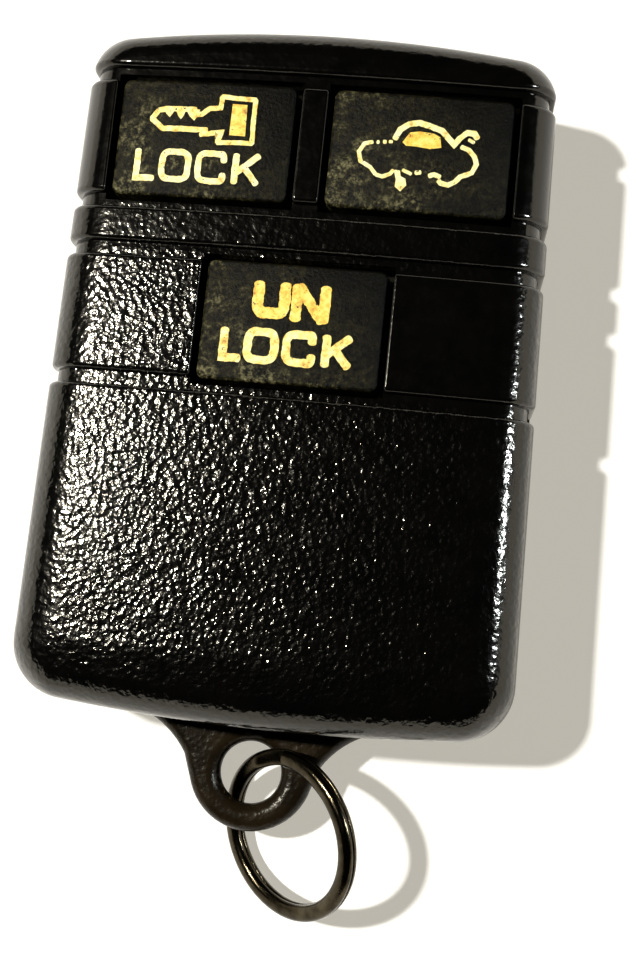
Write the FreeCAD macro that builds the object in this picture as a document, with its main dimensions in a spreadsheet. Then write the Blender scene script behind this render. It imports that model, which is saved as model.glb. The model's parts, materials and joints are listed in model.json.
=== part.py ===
import FreeCAD, Part
import math
import os
import Sketcher

# Three-button car key fob with a split key ring.
# Millimetres. X runs across the fob, Y along it towards the buttons, Z up out of its face.
# The origin is the middle of the flat back, which lies on the table at Z = 0.

doc = FreeCAD.newDocument("KeyFob")
Vector = FreeCAD.Vector

SIZES = [
    # The case, two covers that snap together
    ("case_length", 52.3, "case without its lug, along Y"),
    ("top_width", 35.7, "case width at the button end"),
    ("width_taper", 1.4, "how much wider the case is at the ring end"),
    ("top_bow", 130.0, "radius of the bowed end above the buttons"),
    ("bottom_bow", 170.0, "radius of the bowed end at the ring"),
    ("top_corner", 3.4, "corner radius at the button end"),
    ("bottom_corner", 4.2, "corner radius at the ring end"),
    ("face_height", 12.4, "height of the face's middle above the back"),
    ("crown_radius", 250.0, "radius of the face's crown, across X"),
    ("face_roll", 2.4, "rounding between face and sides"),
    ("back_roll", 1.7, "rounding between back and sides"),
    ("parting_height", 5.0, "height of the joint between the covers"),
    ("seam_setback", 0.12, "how far the rear cover stands back at the joint"),
    ("wall", 1.6, "wall of the front cover"),
    ("floor_wall", 1.3, "floor of the rear cover"),
    ("tongue_wall", 0.8, "thickness of the rear cover's tongue"),
    ("tongue_height", 1.3, "height of the tongue above the joint"),
    ("seam_gap", 0.06, "gap between the covers where they meet"),
    ("bead_radius", 0.6, "radius of the snap beads on the tongue"),
    ("bead_length", 6.0, "length of a snap bead"),
    ("bead_reach", 0.35, "how far a bead stands out of the tongue"),
    ("bead_spread", 30.0, "distance between the two beads of one side"),
    # The grooves round the front cover
    ("groove_depth", 0.55, "depth of the grooves"),
    ("groove_width", 1.0, "width of the grooves"),
    ("groove_round", 0.4, "rounding of the grooves' edges"),
    # The buttons and the rubber keypad
    ("side_strip", 3.05, "from the case's side to an upper button, at the button end"),
    ("button_pillar", 2.84, "between the two upper buttons"),
    ("button_width", 9.0, "button, along Y"),
    ("button_corner", 0.6, "corner radius of a button"),
    ("button_soft_edge", 0.25, "rounding of a button's top edge"),
    ("button_gap", 0.45, "gap between a button and its window"),
    ("window_round", 0.2, "rounding of a window's sides"),
    ("button_recess", 0.3, "how far a button's top lies under the face"),
    ("button_body", 2.6, "height of a button's body"),
    ("row_from_end", 9.3, "middle of the upper buttons, from the case's end"),
    ("row_share", 0.26, "distance between the two rows of buttons, as a share of the length"),
    ("frame_margin", 1.7, "thick frame of the front cover beyond its windows"),
    ("keypad_drop", 3.5, "keypad's underside, below the face"),
    ("keypad_thickness", 1.2, "thickness of the keypad"),
    ("keypad_rim", 0.35, "keypad outside its openings"),
    ("keypad_gap", 0.05, "gap between keypad and front cover, and under its feet"),
    ("keypad_hole_gap", 0.15, "gap round the posts that pass through the keypad"),
    ("web_reach", 0.6, "width of the thin web round a button"),
    ("web_wall", 0.35, "thickness of the web"),
    ("web_height", 1.0, "height of the web"),
    ("foot_radius", 1.0, "radius of the keypad's feet"),
    ("foot_low_inset", 6.5, "lower feet, from the case's side"),
    ("foot_low_drop", 1.65, "lower feet, below the middle of the lower button"),
    ("foot_mid_inset", 4.6, "middle feet, from the case's side"),
    ("pip_radius", 1.5, "radius of the pip under a button"),
    ("pip_gap", 0.05, "gap between pip and plunger"),
    # The circuit board and what holds it
    ("board_underside", 5.2, "height of the board's underside"),
    ("board_thickness", 1.0, "thickness of the board"),
    ("board_gap", 0.2, "gap between the board and the tongue"),
    ("post_radius", 1.7, "radius of the board's posts"),
    ("pin_radius", 0.9, "radius of the pins on the posts"),
    ("pin_gap", 0.1, "gap round a pin"),
    ("pin_length", 1.0, "length of a pin above the board"),
    ("clamp_gap", 0.06, "gap between the board and the posts that hold it"),
    ("post_upper_inset", 6.0, "upper posts, from the case's side"),
    ("post_upper_rise", 2.15, "upper posts, above the middle of the lower button"),
    ("post_lower_inset", 4.45, "lower posts, from the case's side"),
    ("post_from_end", 5.5, "lower posts, from the case's end"),
    ("rest_inset", 5.9, "plain rests, from the case's side"),
    ("rest_from_end", 6.4, "plain rests, from the case's end"),
    # The push switches under the buttons
    ("switch_side", 6.0, "side of a push switch"),
    ("switch_height", 1.3, "height of a switch's housing"),
    ("switch_cover", 0.2, "thickness of a switch's metal cover"),
    ("plunger_radius", 1.2, "radius of a switch's plunger"),
    ("plunger_gap", 0.06, "gap round a plunger"),
    ("plunger_share", 0.3387, "top of a plunger, as a share of the height from board to face"),
    ("plunger_flange", 0.45, "how far a plunger's flange stands out"),
    ("plunger_flange_height", 0.3, "thickness of the flange"),
    ("switch_well", 0.3, "floor under a plunger"),
    # The coin cell and its contacts
    ("cell_diameter", 20.0, "coin cell"),
    ("cell_height", 3.2, "coin cell"),
    ("cell_from_end", 14.0, "middle of the cell, from the case's end"),
    ("cell_wall", 0.25, "wall of the cell's can"),
    ("gasket_wall", 0.7, "width of the cell's gasket"),
    ("cap_inset", 0.5, "step round the cell's cap"),
    ("cap_rise", 0.35, "height of that step"),
    ("clip_thickness", 0.2, "sheet metal of the contacts"),
    ("clip_width", 6.0, "width of the lower contact"),
    ("clip_gap", 0.05, "gap round the contacts"),
    ("arm_gap", 0.15, "gap between the cell and the strap's arms"),
    ("leaf_length", 12.0, "upper contact"),
    ("leaf_width", 3.0, "upper contact"),
    ("dimple_radius", 1.0, "upper contact's dimple"),
    ("nest_gap", 0.9, "gap between the cell and its nest"),
    ("nest_wall", 0.8, "wall of the nest"),
    ("nest_height", 2.4, "height of the nest"),
    # What is soldered to the board
    ("track_width", 1.2, "copper aerial loop"),
    ("track_height", 0.08, "copper aerial loop"),
    ("track_inset", 1.85, "copper aerial loop, inside the line of the lower posts"),
    ("track_rise", 8.0, "copper aerial loop, its upper edge above the cell's middle"),
    ("track_drop", 10.2, "copper aerial loop, its lower edge below the cell's middle"),
    ("lead_width", 0.42, "leads of the chips"),
    ("lead_thickness", 0.2, "leads of the chips"),
    ("lead_distance", 1.27, "leads of the chips, middle to middle"),
    ("chip_standoff", 0.1, "gap under the chips"),
    ("controller_length", 12.8, "controller chip"),
    ("controller_width", 7.5, "controller chip"),
    ("controller_height", 2.3, "controller chip"),
    ("controller_x", -4.4, "controller chip"),
    ("memory_length", 4.9, "memory chip"),
    ("memory_width", 3.9, "memory chip"),
    ("memory_height", 1.5, "memory chip"),
    ("memory_x", 6.3, "memory chip"),
    ("memory_rise", 3.4, "memory chip, above the cell's middle"),
    ("lead_reach", 1.0, "how far the leads stand out"),
    ("resonator_radius", 3.8, "resonator can"),
    ("resonator_height", 3.2, "resonator can"),
    ("resonator_rim", 0.5, "flange of the resonator can"),
    ("resonator_x", 6.6, "resonator can"),
    ("resonator_drop", 4.2, "resonator can, below the cell's middle"),
    ("transistor_length", 2.9, "transistor"),
    ("transistor_width", 1.3, "transistor"),
    ("transistor_height", 1.0, "transistor"),
    ("transistor_x", 8.8, "transistor"),
    ("inductor_length", 3.2, "inductor"),
    ("inductor_width", 2.5, "inductor"),
    ("inductor_height", 1.4, "inductor"),
    ("inductor_x", -10.2, "inductor"),
    ("passive_length", 1.25, "capacitors and resistors, across X"),
    ("passive_width", 2.0, "capacitors and resistors, along Y"),
    ("capacitor_height", 0.9, "capacitors"),
    ("resistor_height", 0.5, "resistors"),
    ("passive_distance", 2.4, "capacitors and resistors, middle to middle"),
    ("resistor_rise", 2.9, "row of resistors, above the aerial's lower edge"),
    # The lug and the split ring
    ("lug_drop", 3.8, "hole's middle beyond the case's end"),
    ("lug_x", -0.65, "hole's middle, from the case's middle"),
    ("lug_middle", 3.45, "height of the lug's middle"),
    ("lug_thickness", 2.0, "thickness of the lug"),
    ("lug_hole", 2.35, "radius of the lug's hole"),
    ("lug_eye", 4.85, "outer radius of the lug's eye"),
    ("lug_eye_shift", 0.4, "middle of the eye's outer arc, nearer the case than the hole's middle"),
    ("lug_neck", 5.3, "half width of the lug where its flare starts"),
    ("lug_flare", 9.0, "half width of the lug at the case"),
    ("lug_neck_rise", 0.5, "start of the flare, nearer the case than the eye's middle"),
    ("lug_flare_hollow", 0.4, "hollow of the flare"),
    ("lug_eye_angle", 15.0, "how far below its middle the eye's arc starts, degrees"),
    ("lug_round", 0.97, "rounding of the lug's edges"),
    ("ring_radius", 5.88, "middle of the ring's wire"),
    ("ring_wire", 1.28, "width of the ring's wire, across the ring"),
    ("ring_turn", 0.62, "thickness of one turn of the wire"),
    ("ring_turn_gap", 0.04, "gap between the two turns"),
    ("ring_wire_round", 0.3, "rounding of the wire"),
    ("ring_step", 26.0, "angle over which the wire climbs a turn, degrees"),
    ("ring_step_place", 72.0, "where the wire climbs, degrees"),
    ("ring_tilt", 39.2, "lean of the ring, degrees"),
    ("ring_heading", 21.9, "direction in which the ring rises, degrees"),
    ("ring_lift", 0.25, "gap between the ring and the table"),
    ("ring_in_hole", 0.4, "how far the wire lies off the hole's middle"),
]

# Sizes and places that follow from the ones above, in the same sheet
DERIVED = [
    ("bottom_width", "=top_width + width_taper", "case width at the ring end"),
    ("button_length", "=(top_width - button_pillar) / 2 - side_strip", "button, across X"),
    ("button_offset", "=(button_length + button_pillar) / 2", "upper buttons, from the middle"),
    ("row_distance", "=case_length * row_share", "distance between the two rows of buttons"),
    ("upper_row", "=case_length / 2 - row_from_end", "middle of the upper row of buttons"),
    ("lower_row", "=upper_row - row_distance", "middle of the lower button"),
    ("keypad_underside", "=face_height - keypad_drop", "height of the keypad's underside"),
    ("plunger_height", "=(face_height - board_underside - board_thickness) * plunger_share",
     "top of a plunger above the board"),
    ("foot_low_x", "=top_width / 2 - foot_low_inset", "lower feet, from the middle"),
    ("foot_low_y", "=lower_row - foot_low_drop", "lower feet, place along Y"),
    ("foot_mid_x", "=top_width / 2 - foot_mid_inset", "middle feet, from the middle"),
    ("post_upper_x", "=top_width / 2 - post_upper_inset", "upper posts, from the middle"),
    ("post_upper_y", "=lower_row + post_upper_rise", "upper posts, place along Y"),
    ("post_lower_x", "=bottom_width / 2 - post_lower_inset", "lower posts, from the middle"),
    ("post_lower_y", "=post_from_end - case_length / 2", "lower posts, place along Y"),
    ("rest_x", "=top_width / 2 - rest_inset", "plain rests, from the middle"),
    ("rest_y", "=case_length / 2 - rest_from_end", "plain rests, place along Y"),
    ("cell_y", "=cell_from_end - case_length / 2", "middle of the cell along Y"),
    ("controller_y", "=cell_y", "controller chip, on the cell's middle"),
    ("memory_y", "=cell_y + memory_rise", "memory chip, place along Y"),
    ("resonator_y", "=cell_y - resonator_drop", "resonator can, place along Y"),
    ("track_half_width", "=post_lower_x - track_inset", "copper aerial loop, outside"),
    ("track_top", "=cell_y + track_rise", "copper aerial loop, its upper edge"),
    ("track_bottom", "=cell_y - track_drop", "copper aerial loop, its lower edge"),
    ("parts_row", "=(upper_row + lower_row) / 2", "row of small parts, between the rows of buttons"),
    ("resistor_row", "=track_bottom + resistor_rise", "row of resistors"),
]

sheet = doc.addObject("Spreadsheet::Sheet", "Fob")
for row, (alias, content, meaning) in enumerate(SIZES + DERIVED, start=1):
    sheet.set("A%d" % row, alias)
    sheet.set("B%d" % row, str(content))
    sheet.set("C%d" % row, meaning)
    sheet.setAlias("B%d" % row, alias)
doc.recompute()

nodes = []

# Cutting shapes reach this far past what they cut, and joined shapes this far into each other.
PAST = 1.0
SINK = 0.1
SIDES = ((-1, "Left"), (1, "Right"))
# Two points closer than this are taken as one.
NEAR = 1e-3
# The turns of the ring end this many degrees before the stretch where the wire climbs.
WIRE_END = 2.0


def size(alias):
    """The number in one cell of the sheet."""
    return float(sheet.get(alias))


def bind(thing, **formulas):
    """Tie properties of an object to formulas of the sheet."""
    for name, formula in formulas.items():
        thing.setExpression(name, formula)


def place(thing, x="0", y="0", z="0"):
    """Tie an object's place to formulas of the sheet."""
    thing.setExpression("Placement.Base.x", x)
    thing.setExpression("Placement.Base.y", y)
    thing.setExpression("Placement.Base.z", z)


def node(thing, label):
    """Name an object as one sub-part."""
    thing.Label = label
    nodes.append(thing)
    return thing


def box(name, x, y, z, length, width, height):
    """A box centred on (x, y) that stands on z. Every size is a formula."""
    block = doc.addObject("Part::Box", name)
    bind(block, Length=length, Width=width, Height=height)
    place(block, "(%s) - (%s) / 2" % (x, length), "(%s) - (%s) / 2" % (y, width), z)
    return block


def cylinder(name, x, y, z, radius, height):
    """An upright cylinder centred on (x, y) that stands on z."""
    rod = doc.addObject("Part::Cylinder", name)
    bind(rod, Radius=radius, Height=height)
    place(rod, x, y, z)
    return rod


def hole(name, x, y, z, radius, height):
    """A cylinder that cuts from z up to z + height and reaches past both ends."""
    return cylinder(name, x, y, "(%s) - %g" % (z, PAST), radius, "(%s) + %g" % (height, 2 * PAST))


def fuse(name, shapes):
    """Several shapes as one, joined where they meet."""
    joined = doc.addObject("Part::MultiFuse", name)
    joined.Shapes = shapes
    return joined


def cut(name, base, tool):
    """A shape less a second one."""
    rest = doc.addObject("Part::Cut", name)
    rest.Base = base
    rest.Tool = tool
    return rest


def common(name, first, second):
    """What two shapes share."""
    shared = doc.addObject("Part::Common", name)
    shared.Base = first
    shared.Tool = second
    return shared


def new_body(name):
    return doc.addObject("PartDesign::Body", name)


def new_sketch(body, name, role, height="0"):
    """A sketch on one of the body's own origin planes, lifted along its normal."""
    sketch = body.newObject("Sketcher::SketchObject", name)
    plane = [item for item in body.Origin.OriginFeatures if item.Role == role][0]
    sketch.AttachmentSupport = [(plane, "")]
    sketch.MapMode = "FlatFace"
    sketch.setExpression("AttachmentOffset.Base.z", height)
    return sketch


def dimension(sketch, name, formula, kind, *where):
    """A named sketch dimension tied to the sheet; the last of where is its first value."""
    index = sketch.addConstraint(Sketcher.Constraint(kind, *where))
    sketch.renameConstraint(index, name)
    sketch.setExpression("Constraints." + name, formula)


def join_ends(sketch, pairs):
    for first, first_end, second, second_end in pairs:
        sketch.addConstraint(Sketcher.Constraint("Coincident", first, first_end, second, second_end))


def rectangle(sketch, x, y, length, width, start):
    """A rectangle centred on (x, y); start holds the first numbers of those four formulas."""
    mid_x, mid_y, span_x, span_y = start
    left, right = mid_x - span_x / 2, mid_x + span_x / 2
    low, high = mid_y - span_y / 2, mid_y + span_y / 2
    corners = [Vector(left, low, 0), Vector(right, low, 0), Vector(right, high, 0), Vector(left, high, 0)]
    sides = []
    for index in range(4):
        line = Part.LineSegment(corners[index], corners[(index + 1) % 4])
        sides.append(sketch.addGeometry(line, False))
    join_ends(sketch, [(sides[i], 2, sides[(i + 1) % 4], 1) for i in range(4)])
    for index, kind in enumerate(("Horizontal", "Vertical", "Horizontal", "Vertical")):
        sketch.addConstraint(Sketcher.Constraint(kind, sides[index]))
    dimension(sketch, "Length", length, "DistanceX", sides[0], 1, sides[0], 2, span_x)
    dimension(sketch, "Width", width, "DistanceY", sides[1], 1, sides[1], 2, span_y)
    dimension(sketch, "Left", "(%s) - (%s) / 2" % (x, length), "DistanceX", -1, 1, sides[0], 1, left)
    dimension(sketch, "Low", "(%s) - (%s) / 2" % (y, width), "DistanceY", -1, 1, sides[0], 1, low)


def pad(body, name, sketch, length):
    feature = body.newObject("PartDesign::Pad", name)
    feature.Profile = sketch
    feature.setExpression("Length", length)
    doc.recompute()
    return feature


def edge_names(shape, wanted):
    """Names of the edges that pass a test on their bounding box and midpoint."""
    names = []
    for index, edge in enumerate(shape.Edges, start=1):
        middle = edge.valueAt((edge.FirstParameter + edge.LastParameter) / 2)
        if wanted(edge.BoundBox, middle):
            names.append("Edge%d" % index)
    return names


def round_edges(body, name, base, wanted, radius):
    """A fillet on the edges that pass the test."""
    feature = body.newObject("PartDesign::Fillet", name)
    feature.Base = (base, edge_names(base.Shape, wanted))
    feature.setExpression("Radius", radius)
    doc.recompute()
    return feature


def upright(bounds):
    return bounds.XLength < NEAR and bounds.YLength < NEAR


def case_outline(body, height, inset):
    """The case seen from above, drawn in by inset: straight tapered sides and two bowed ends."""
    sketch = new_sketch(body, body.Name + "Outline", "XY_Plane", height)
    half_top = size("top_width") / 2
    half_bottom = size("bottom_width") / 2
    half_length = size("case_length") / 2
    top_bow = size("top_bow")
    bottom_bow = size("bottom_bow")
    top_angle = math.acos(half_top / top_bow)
    bottom_angle = math.acos(half_bottom / bottom_bow)
    top_circle = Part.Circle(Vector(0, half_length - top_bow, 0), Vector(0, 0, 1), top_bow)
    bottom_circle = Part.Circle(Vector(0, bottom_bow - half_length, 0), Vector(0, 0, 1), bottom_bow)
    top_arc = Part.ArcOfCircle(top_circle, top_angle, math.pi - top_angle)
    bottom_arc = Part.ArcOfCircle(bottom_circle, math.pi + bottom_angle, 2 * math.pi - bottom_angle)
    top = sketch.addGeometry(top_arc, False)
    bottom = sketch.addGeometry(bottom_arc, False)
    left = sketch.addGeometry(Part.LineSegment(top_arc.EndPoint, bottom_arc.StartPoint), False)
    right = sketch.addGeometry(Part.LineSegment(top_arc.StartPoint, bottom_arc.EndPoint), False)
    join_ends(sketch, [(top, 2, left, 1), (top, 1, right, 1), (bottom, 1, left, 2), (bottom, 2, right, 2)])
    sketch.addConstraint(Sketcher.Constraint("PointOnObject", top, 3, -2))
    sketch.addConstraint(Sketcher.Constraint("PointOnObject", bottom, 3, -2))
    across_top = "Fob.top_width / 2 - (%s)" % inset
    across_bottom = "Fob.bottom_width / 2 - (%s)" % inset
    dimension(sketch, "TopBow", "Fob.top_bow - (%s)" % inset, "Radius", top, top_bow)
    dimension(sketch, "BottomBow", "Fob.bottom_bow - (%s)" % inset, "Radius", bottom, bottom_bow)
    dimension(sketch, "TopCentre", "Fob.top_bow - Fob.case_length / 2",
              "DistanceY", top, 3, -1, 1, top_bow - half_length)
    dimension(sketch, "BottomCentre", "Fob.bottom_bow - Fob.case_length / 2",
              "DistanceY", -1, 1, bottom, 3, bottom_bow - half_length)
    dimension(sketch, "TopRight", across_top, "DistanceX", -1, 1, top, 1, half_top)
    dimension(sketch, "TopLeft", across_top, "DistanceX", top, 2, -1, 1, half_top)
    dimension(sketch, "BottomRight", across_bottom, "DistanceX", -1, 1, bottom, 2, half_bottom)
    dimension(sketch, "BottomLeft", across_bottom, "DistanceX", bottom, 1, -1, 1, half_bottom)
    return sketch


def round_corners(body, base, inset):
    """Round the four upright corners of a padded case outline."""
    upper = round_edges(body, body.Name + "TopCorners", base,
                        lambda bounds, middle: upright(bounds) and middle.y > 0,
                        "Fob.top_corner - (%s)" % inset)
    return round_edges(body, body.Name + "BottomCorners", upper,
                       lambda bounds, middle: upright(bounds) and middle.y < -size("case_length") / 4
                       and abs(middle.x) > size("bottom_width") / 4
                       and abs(middle.y) > size("case_length") / 2 - size("bottom_corner"),
                       "Fob.bottom_corner - (%s)" % inset)


def cut_crown(body, base, inset):
    """Take off all that stands above the crowned face, lowered by inset."""
    sketch = new_sketch(body, body.Name + "Crown", "XZ_Plane")
    radius = size("crown_radius")
    centre = size("face_height") - radius
    reach = size("bottom_width")
    over = size("face_height") * 2
    angle = math.acos(reach / radius)
    arc_shape = Part.ArcOfCircle(Part.Circle(Vector(0, centre, 0), Vector(0, 0, 1), radius),
                                 angle, math.pi - angle)
    arc = sketch.addGeometry(arc_shape, False)
    left_foot = arc_shape.EndPoint
    right_foot = arc_shape.StartPoint
    left = sketch.addGeometry(Part.LineSegment(left_foot, Vector(-reach, over, 0)), False)
    lid = sketch.addGeometry(Part.LineSegment(Vector(-reach, over, 0), Vector(reach, over, 0)), False)
    right = sketch.addGeometry(Part.LineSegment(Vector(reach, over, 0), right_foot), False)
    join_ends(sketch, [(arc, 2, left, 1), (left, 2, lid, 1), (lid, 2, right, 1), (right, 2, arc, 1)])
    for kind, line in (("Vertical", left), ("Horizontal", lid), ("Vertical", right)):
        sketch.addConstraint(Sketcher.Constraint(kind, line))
    sketch.addConstraint(Sketcher.Constraint("PointOnObject", arc, 3, -2))
    dimension(sketch, "CrownRadius", "Fob.crown_radius - (%s)" % inset, "Radius", arc, radius)
    dimension(sketch, "CrownCentre", "Fob.crown_radius - Fob.face_height",
              "DistanceY", arc, 3, -1, 1, -centre)
    dimension(sketch, "ReachLeft", "Fob.bottom_width", "DistanceX", lid, 1, -1, 1, reach)
    dimension(sketch, "ReachRight", "Fob.bottom_width", "DistanceX", -1, 1, lid, 2, reach)
    dimension(sketch, "Over", "Fob.face_height * 2", "DistanceY", -1, 1, lid, 1, over)
    feature = body.newObject("PartDesign::Pocket", body.Name + "CrownCut")
    feature.Profile = sketch
    feature.SideType = "Symmetric"
    feature.Type = "ThroughAll"
    doc.recompute()
    if feature.Shape.Volume >= base.Shape.Volume:
        raise RuntimeError("the crown cut of %s takes nothing off" % body.Name)
    return feature


def case_block(name, inset):
    """The front half of the case as a solid block, drawn in by inset on every side but its base."""
    body = new_body(name)
    sketch = case_outline(body, "Fob.parting_height", inset)
    block = pad(body, name + "Pad", sketch, "Fob.face_height")
    block = round_corners(body, block, inset)
    block = cut_crown(body, block, inset)
    base = size("parting_height")
    round_edges(body, name + "Roll", block,
                lambda bounds, middle: bounds.ZMin > base + 1 and middle.z > base + 1 and not upright(bounds)
                and bounds.ZLength < size("face_height") / 4,
                "Fob.face_roll - (%s)" % inset)
    return body


def window_boxes(prefix, extra, bottom, height):
    """One box for each button: its plan, wider by extra all round."""
    plans = (("Lock", "-Fob.button_offset", "Fob.upper_row"),
             ("Trunk", "Fob.button_offset", "Fob.upper_row"),
             ("Unlock", "0", "Fob.lower_row"))
    boxes = []
    for name, x, y in plans:
        boxes.append(box(prefix + name, x, y, bottom, "Fob.button_length + 2 * (%s)" % extra,
                         "Fob.button_width + 2 * (%s)" % extra, height))
    return boxes


def beads(prefix, radius):
    """Two snap beads on each long side of the tongue, or the grooves that take them."""
    rods = []
    inset = "(Fob.wall + Fob.seam_gap - Fob.bead_reach + Fob.bead_radius)"
    for side in (-1, 1):
        for end in (-1, 1):
            y = "%d * Fob.bead_spread / 2" % end
            half_width = ("((Fob.top_width + Fob.bottom_width) / 4"
                          " - (Fob.bottom_width - Fob.top_width) / 2 * (%s) / Fob.case_length)" % y)
            rod = doc.addObject("Part::Cylinder", "%s%s%s" % (prefix, "LR"[side > 0], "BT"[end > 0]))
            bind(rod, Radius=radius, Height="Fob.bead_length")
            rod.Placement.Rotation = FreeCAD.Rotation(Vector(1, 0, 0), -90)
            place(rod, "%d * (%s - %s)" % (side, half_width, inset),
                  "(%s) - Fob.bead_length / 2" % y,
                  "Fob.parting_height + Fob.tongue_height - Fob.bead_radius")
            rods.append(rod)
    return rods


def round_outside(name, base, outer, wanted, radius):
    """Round those edges of a cover that lie in its outside skin and pass the test."""
    skin = outer.Shape.Shells[0]
    edges = []
    for index, edge in enumerate(base.Shape.Edges, start=1):
        middle = edge.valueAt((edge.FirstParameter + edge.LastParameter) / 2)
        if wanted(edge.BoundBox, middle) and Part.Vertex(middle).distToShape(skin)[0] < NEAR:
            edges.append((index, radius, radius))
    rounded = doc.addObject("Part::Fillet", name)
    rounded.Base = base
    rounded.Edges = edges
    doc.recompute()
    return rounded


def at_posts(shape, name, z, radius, height):
    """One cylinder or hole at each of the board's four posts."""
    rods = []
    for end in ("upper", "lower"):
        for side, word in SIDES:
            rods.append(shape("%s%s%s" % (name, end.title(), word), "%d * Fob.post_%s_x" % (side, end),
                              "Fob.post_%s_y" % end, z, radius, height))
    return rods


def make_front_cover():
    """Crowned shell with four grooves round it, three windows and posts that hold the board."""
    outer = case_block("FrontOuter", "0")
    core = case_block("GrooveCore", "Fob.groove_depth")
    cavity = case_block("FrontCavity", "Fob.wall")
    slabs = []
    edge = "(Fob.button_width / 2 + Fob.button_gap)"
    for index, (row, side) in enumerate((("upper", "+"), ("upper", "-"), ("lower", "+"), ("lower", "-"))):
        slabs.append(box("GrooveSlab%d" % index, "0", "Fob.%s_row %s %s" % (row, side, edge),
                         "Fob.parting_height - %g" % PAST, "Fob.bottom_width + %g" % PAST,
                         "Fob.groove_width", "Fob.face_height"))
    channels = cut("Channels", fuse("GrooveSlabs", slabs), core)
    grooved = cut("GroovedCover", outer, channels)
    doc.recompute()
    above_joint = size("parting_height") + NEAR
    rounded = round_outside("RoundedGrooves", grooved, outer,
                            lambda bounds, middle: bounds.YLength < NEAR and middle.z > above_joint,
                            size("groove_round"))
    shell = cut("FrontShell", rounded, cavity)
    frame_low = "Fob.keypad_underside + Fob.keypad_thickness + Fob.keypad_gap"
    reach = "(Fob.button_gap + Fob.frame_margin)"
    frame_box = box("FrameBox", "0", "(Fob.upper_row + Fob.lower_row) / 2", frame_low,
                    "2 * (Fob.button_offset + %s) + Fob.button_length" % reach,
                    "Fob.upper_row - Fob.lower_row + Fob.button_width + 2 * %s" % reach, "Fob.wall * 3")
    frame = common("Frame", frame_box, cavity)
    clamp_low = "Fob.board_underside + Fob.board_thickness + Fob.clamp_gap"
    posts = fuse("ClampPosts", at_posts(cylinder, "Clamp", clamp_low, "Fob.post_radius",
                                        "Fob.face_height - (%s)" % clamp_low))
    clamps = common("Clamps", posts, cavity)
    solid = fuse("FrontSolid", [shell, frame, clamps])
    tools = window_boxes("Window", "Fob.button_gap", "%s - %g" % (frame_low, PAST), "Fob.face_height")
    tools += at_posts(cylinder, "ClampHole", "%s - %g" % (clamp_low, PAST),
                      "Fob.pin_radius + Fob.pin_gap", "Fob.pin_length + Fob.pin_gap + %g" % PAST)
    tools += beads("BeadGroove", "Fob.bead_radius + Fob.seam_gap")
    cover = cut("FrontWithWindows", solid, fuse("FrontTools", tools))
    doc.recompute()
    node(round_outside("FrontCover", cover, outer,
                       lambda bounds, middle: bounds.XLength < NEAR
                       and bounds.YLength > size("button_width") / 2,
                       size("window_round")), "front_cover")


def tray_block(name, inset, floor):
    """The rear half of the case as a block, drawn in by inset, from floor up to the joint."""
    body = new_body(name)
    sketch = case_outline(body, floor, inset)
    block = pad(body, name + "Pad", sketch, "Fob.parting_height - (%s)" % floor)
    return body, round_corners(body, block, inset)


def make_lug():
    """The ring's eye: a flat plate that flares into the case, with a hole and rounded edges."""
    body = new_body("Lug")
    sketch = new_sketch(body, "LugPlan", "XY_Plane", "Fob.lug_middle - Fob.lug_thickness / 2")
    hole_y = -size("case_length") / 2 - size("lug_drop")
    eye_y = hole_y + size("lug_eye_shift")
    root_y = -size("case_length") / 2 + size("wall")
    edge_y = -size("case_length") / 2
    neck = size("lug_neck")
    neck_y = eye_y + size("lug_neck_rise")
    flare = size("lug_flare")
    eye = size("lug_eye")
    low_angle = -math.radians(size("lug_eye_angle"))
    eye_circle = Part.Circle(Vector(0, eye_y, 0), Vector(0, 0, 1), eye)
    eye_arc = Part.ArcOfCircle(eye_circle, math.pi - low_angle, 2 * math.pi + low_angle)
    hollow = size("lug_flare_hollow") / math.sqrt(2)
    flare_middle = Vector((neck + flare) / 2 - hollow, (neck_y + edge_y) / 2 + hollow, 0)
    right_flare = Part.Arc(Vector(neck, neck_y, 0), flare_middle, Vector(flare, edge_y, 0))
    mirrored = Vector(-flare_middle.x, flare_middle.y, 0)
    left_flare = Part.Arc(Vector(-flare, edge_y, 0), mirrored, Vector(-neck, neck_y, 0))
    outline = [
        eye_arc,
        Part.LineSegment(eye_arc.EndPoint, Vector(neck, neck_y, 0)),
        right_flare,
        Part.LineSegment(Vector(flare, edge_y, 0), Vector(flare, root_y, 0)),
        Part.LineSegment(Vector(flare, root_y, 0), Vector(-flare, root_y, 0)),
        Part.LineSegment(Vector(-flare, root_y, 0), Vector(-flare, edge_y, 0)),
        left_flare,
        Part.LineSegment(Vector(-neck, neck_y, 0), eye_arc.StartPoint),
    ]
    for curve in outline:
        sketch.addGeometry(curve, False)
    hole = sketch.addGeometry(Part.Circle(Vector(0, hole_y, 0), Vector(0, 0, 1), size("lug_hole")), False)
    dimension(sketch, "Hole", "Fob.lug_hole", "Radius", hole, size("lug_hole"))
    plate = pad(body, "LugPad", sketch, "Fob.lug_thickness")
    round_edges(body, "LugRound", plate,
                lambda bounds, middle: bounds.ZLength < NEAR and middle.y < edge_y - NEAR,
                "Fob.lug_round")
    place(body, "Fob.lug_x")
    return body


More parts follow.
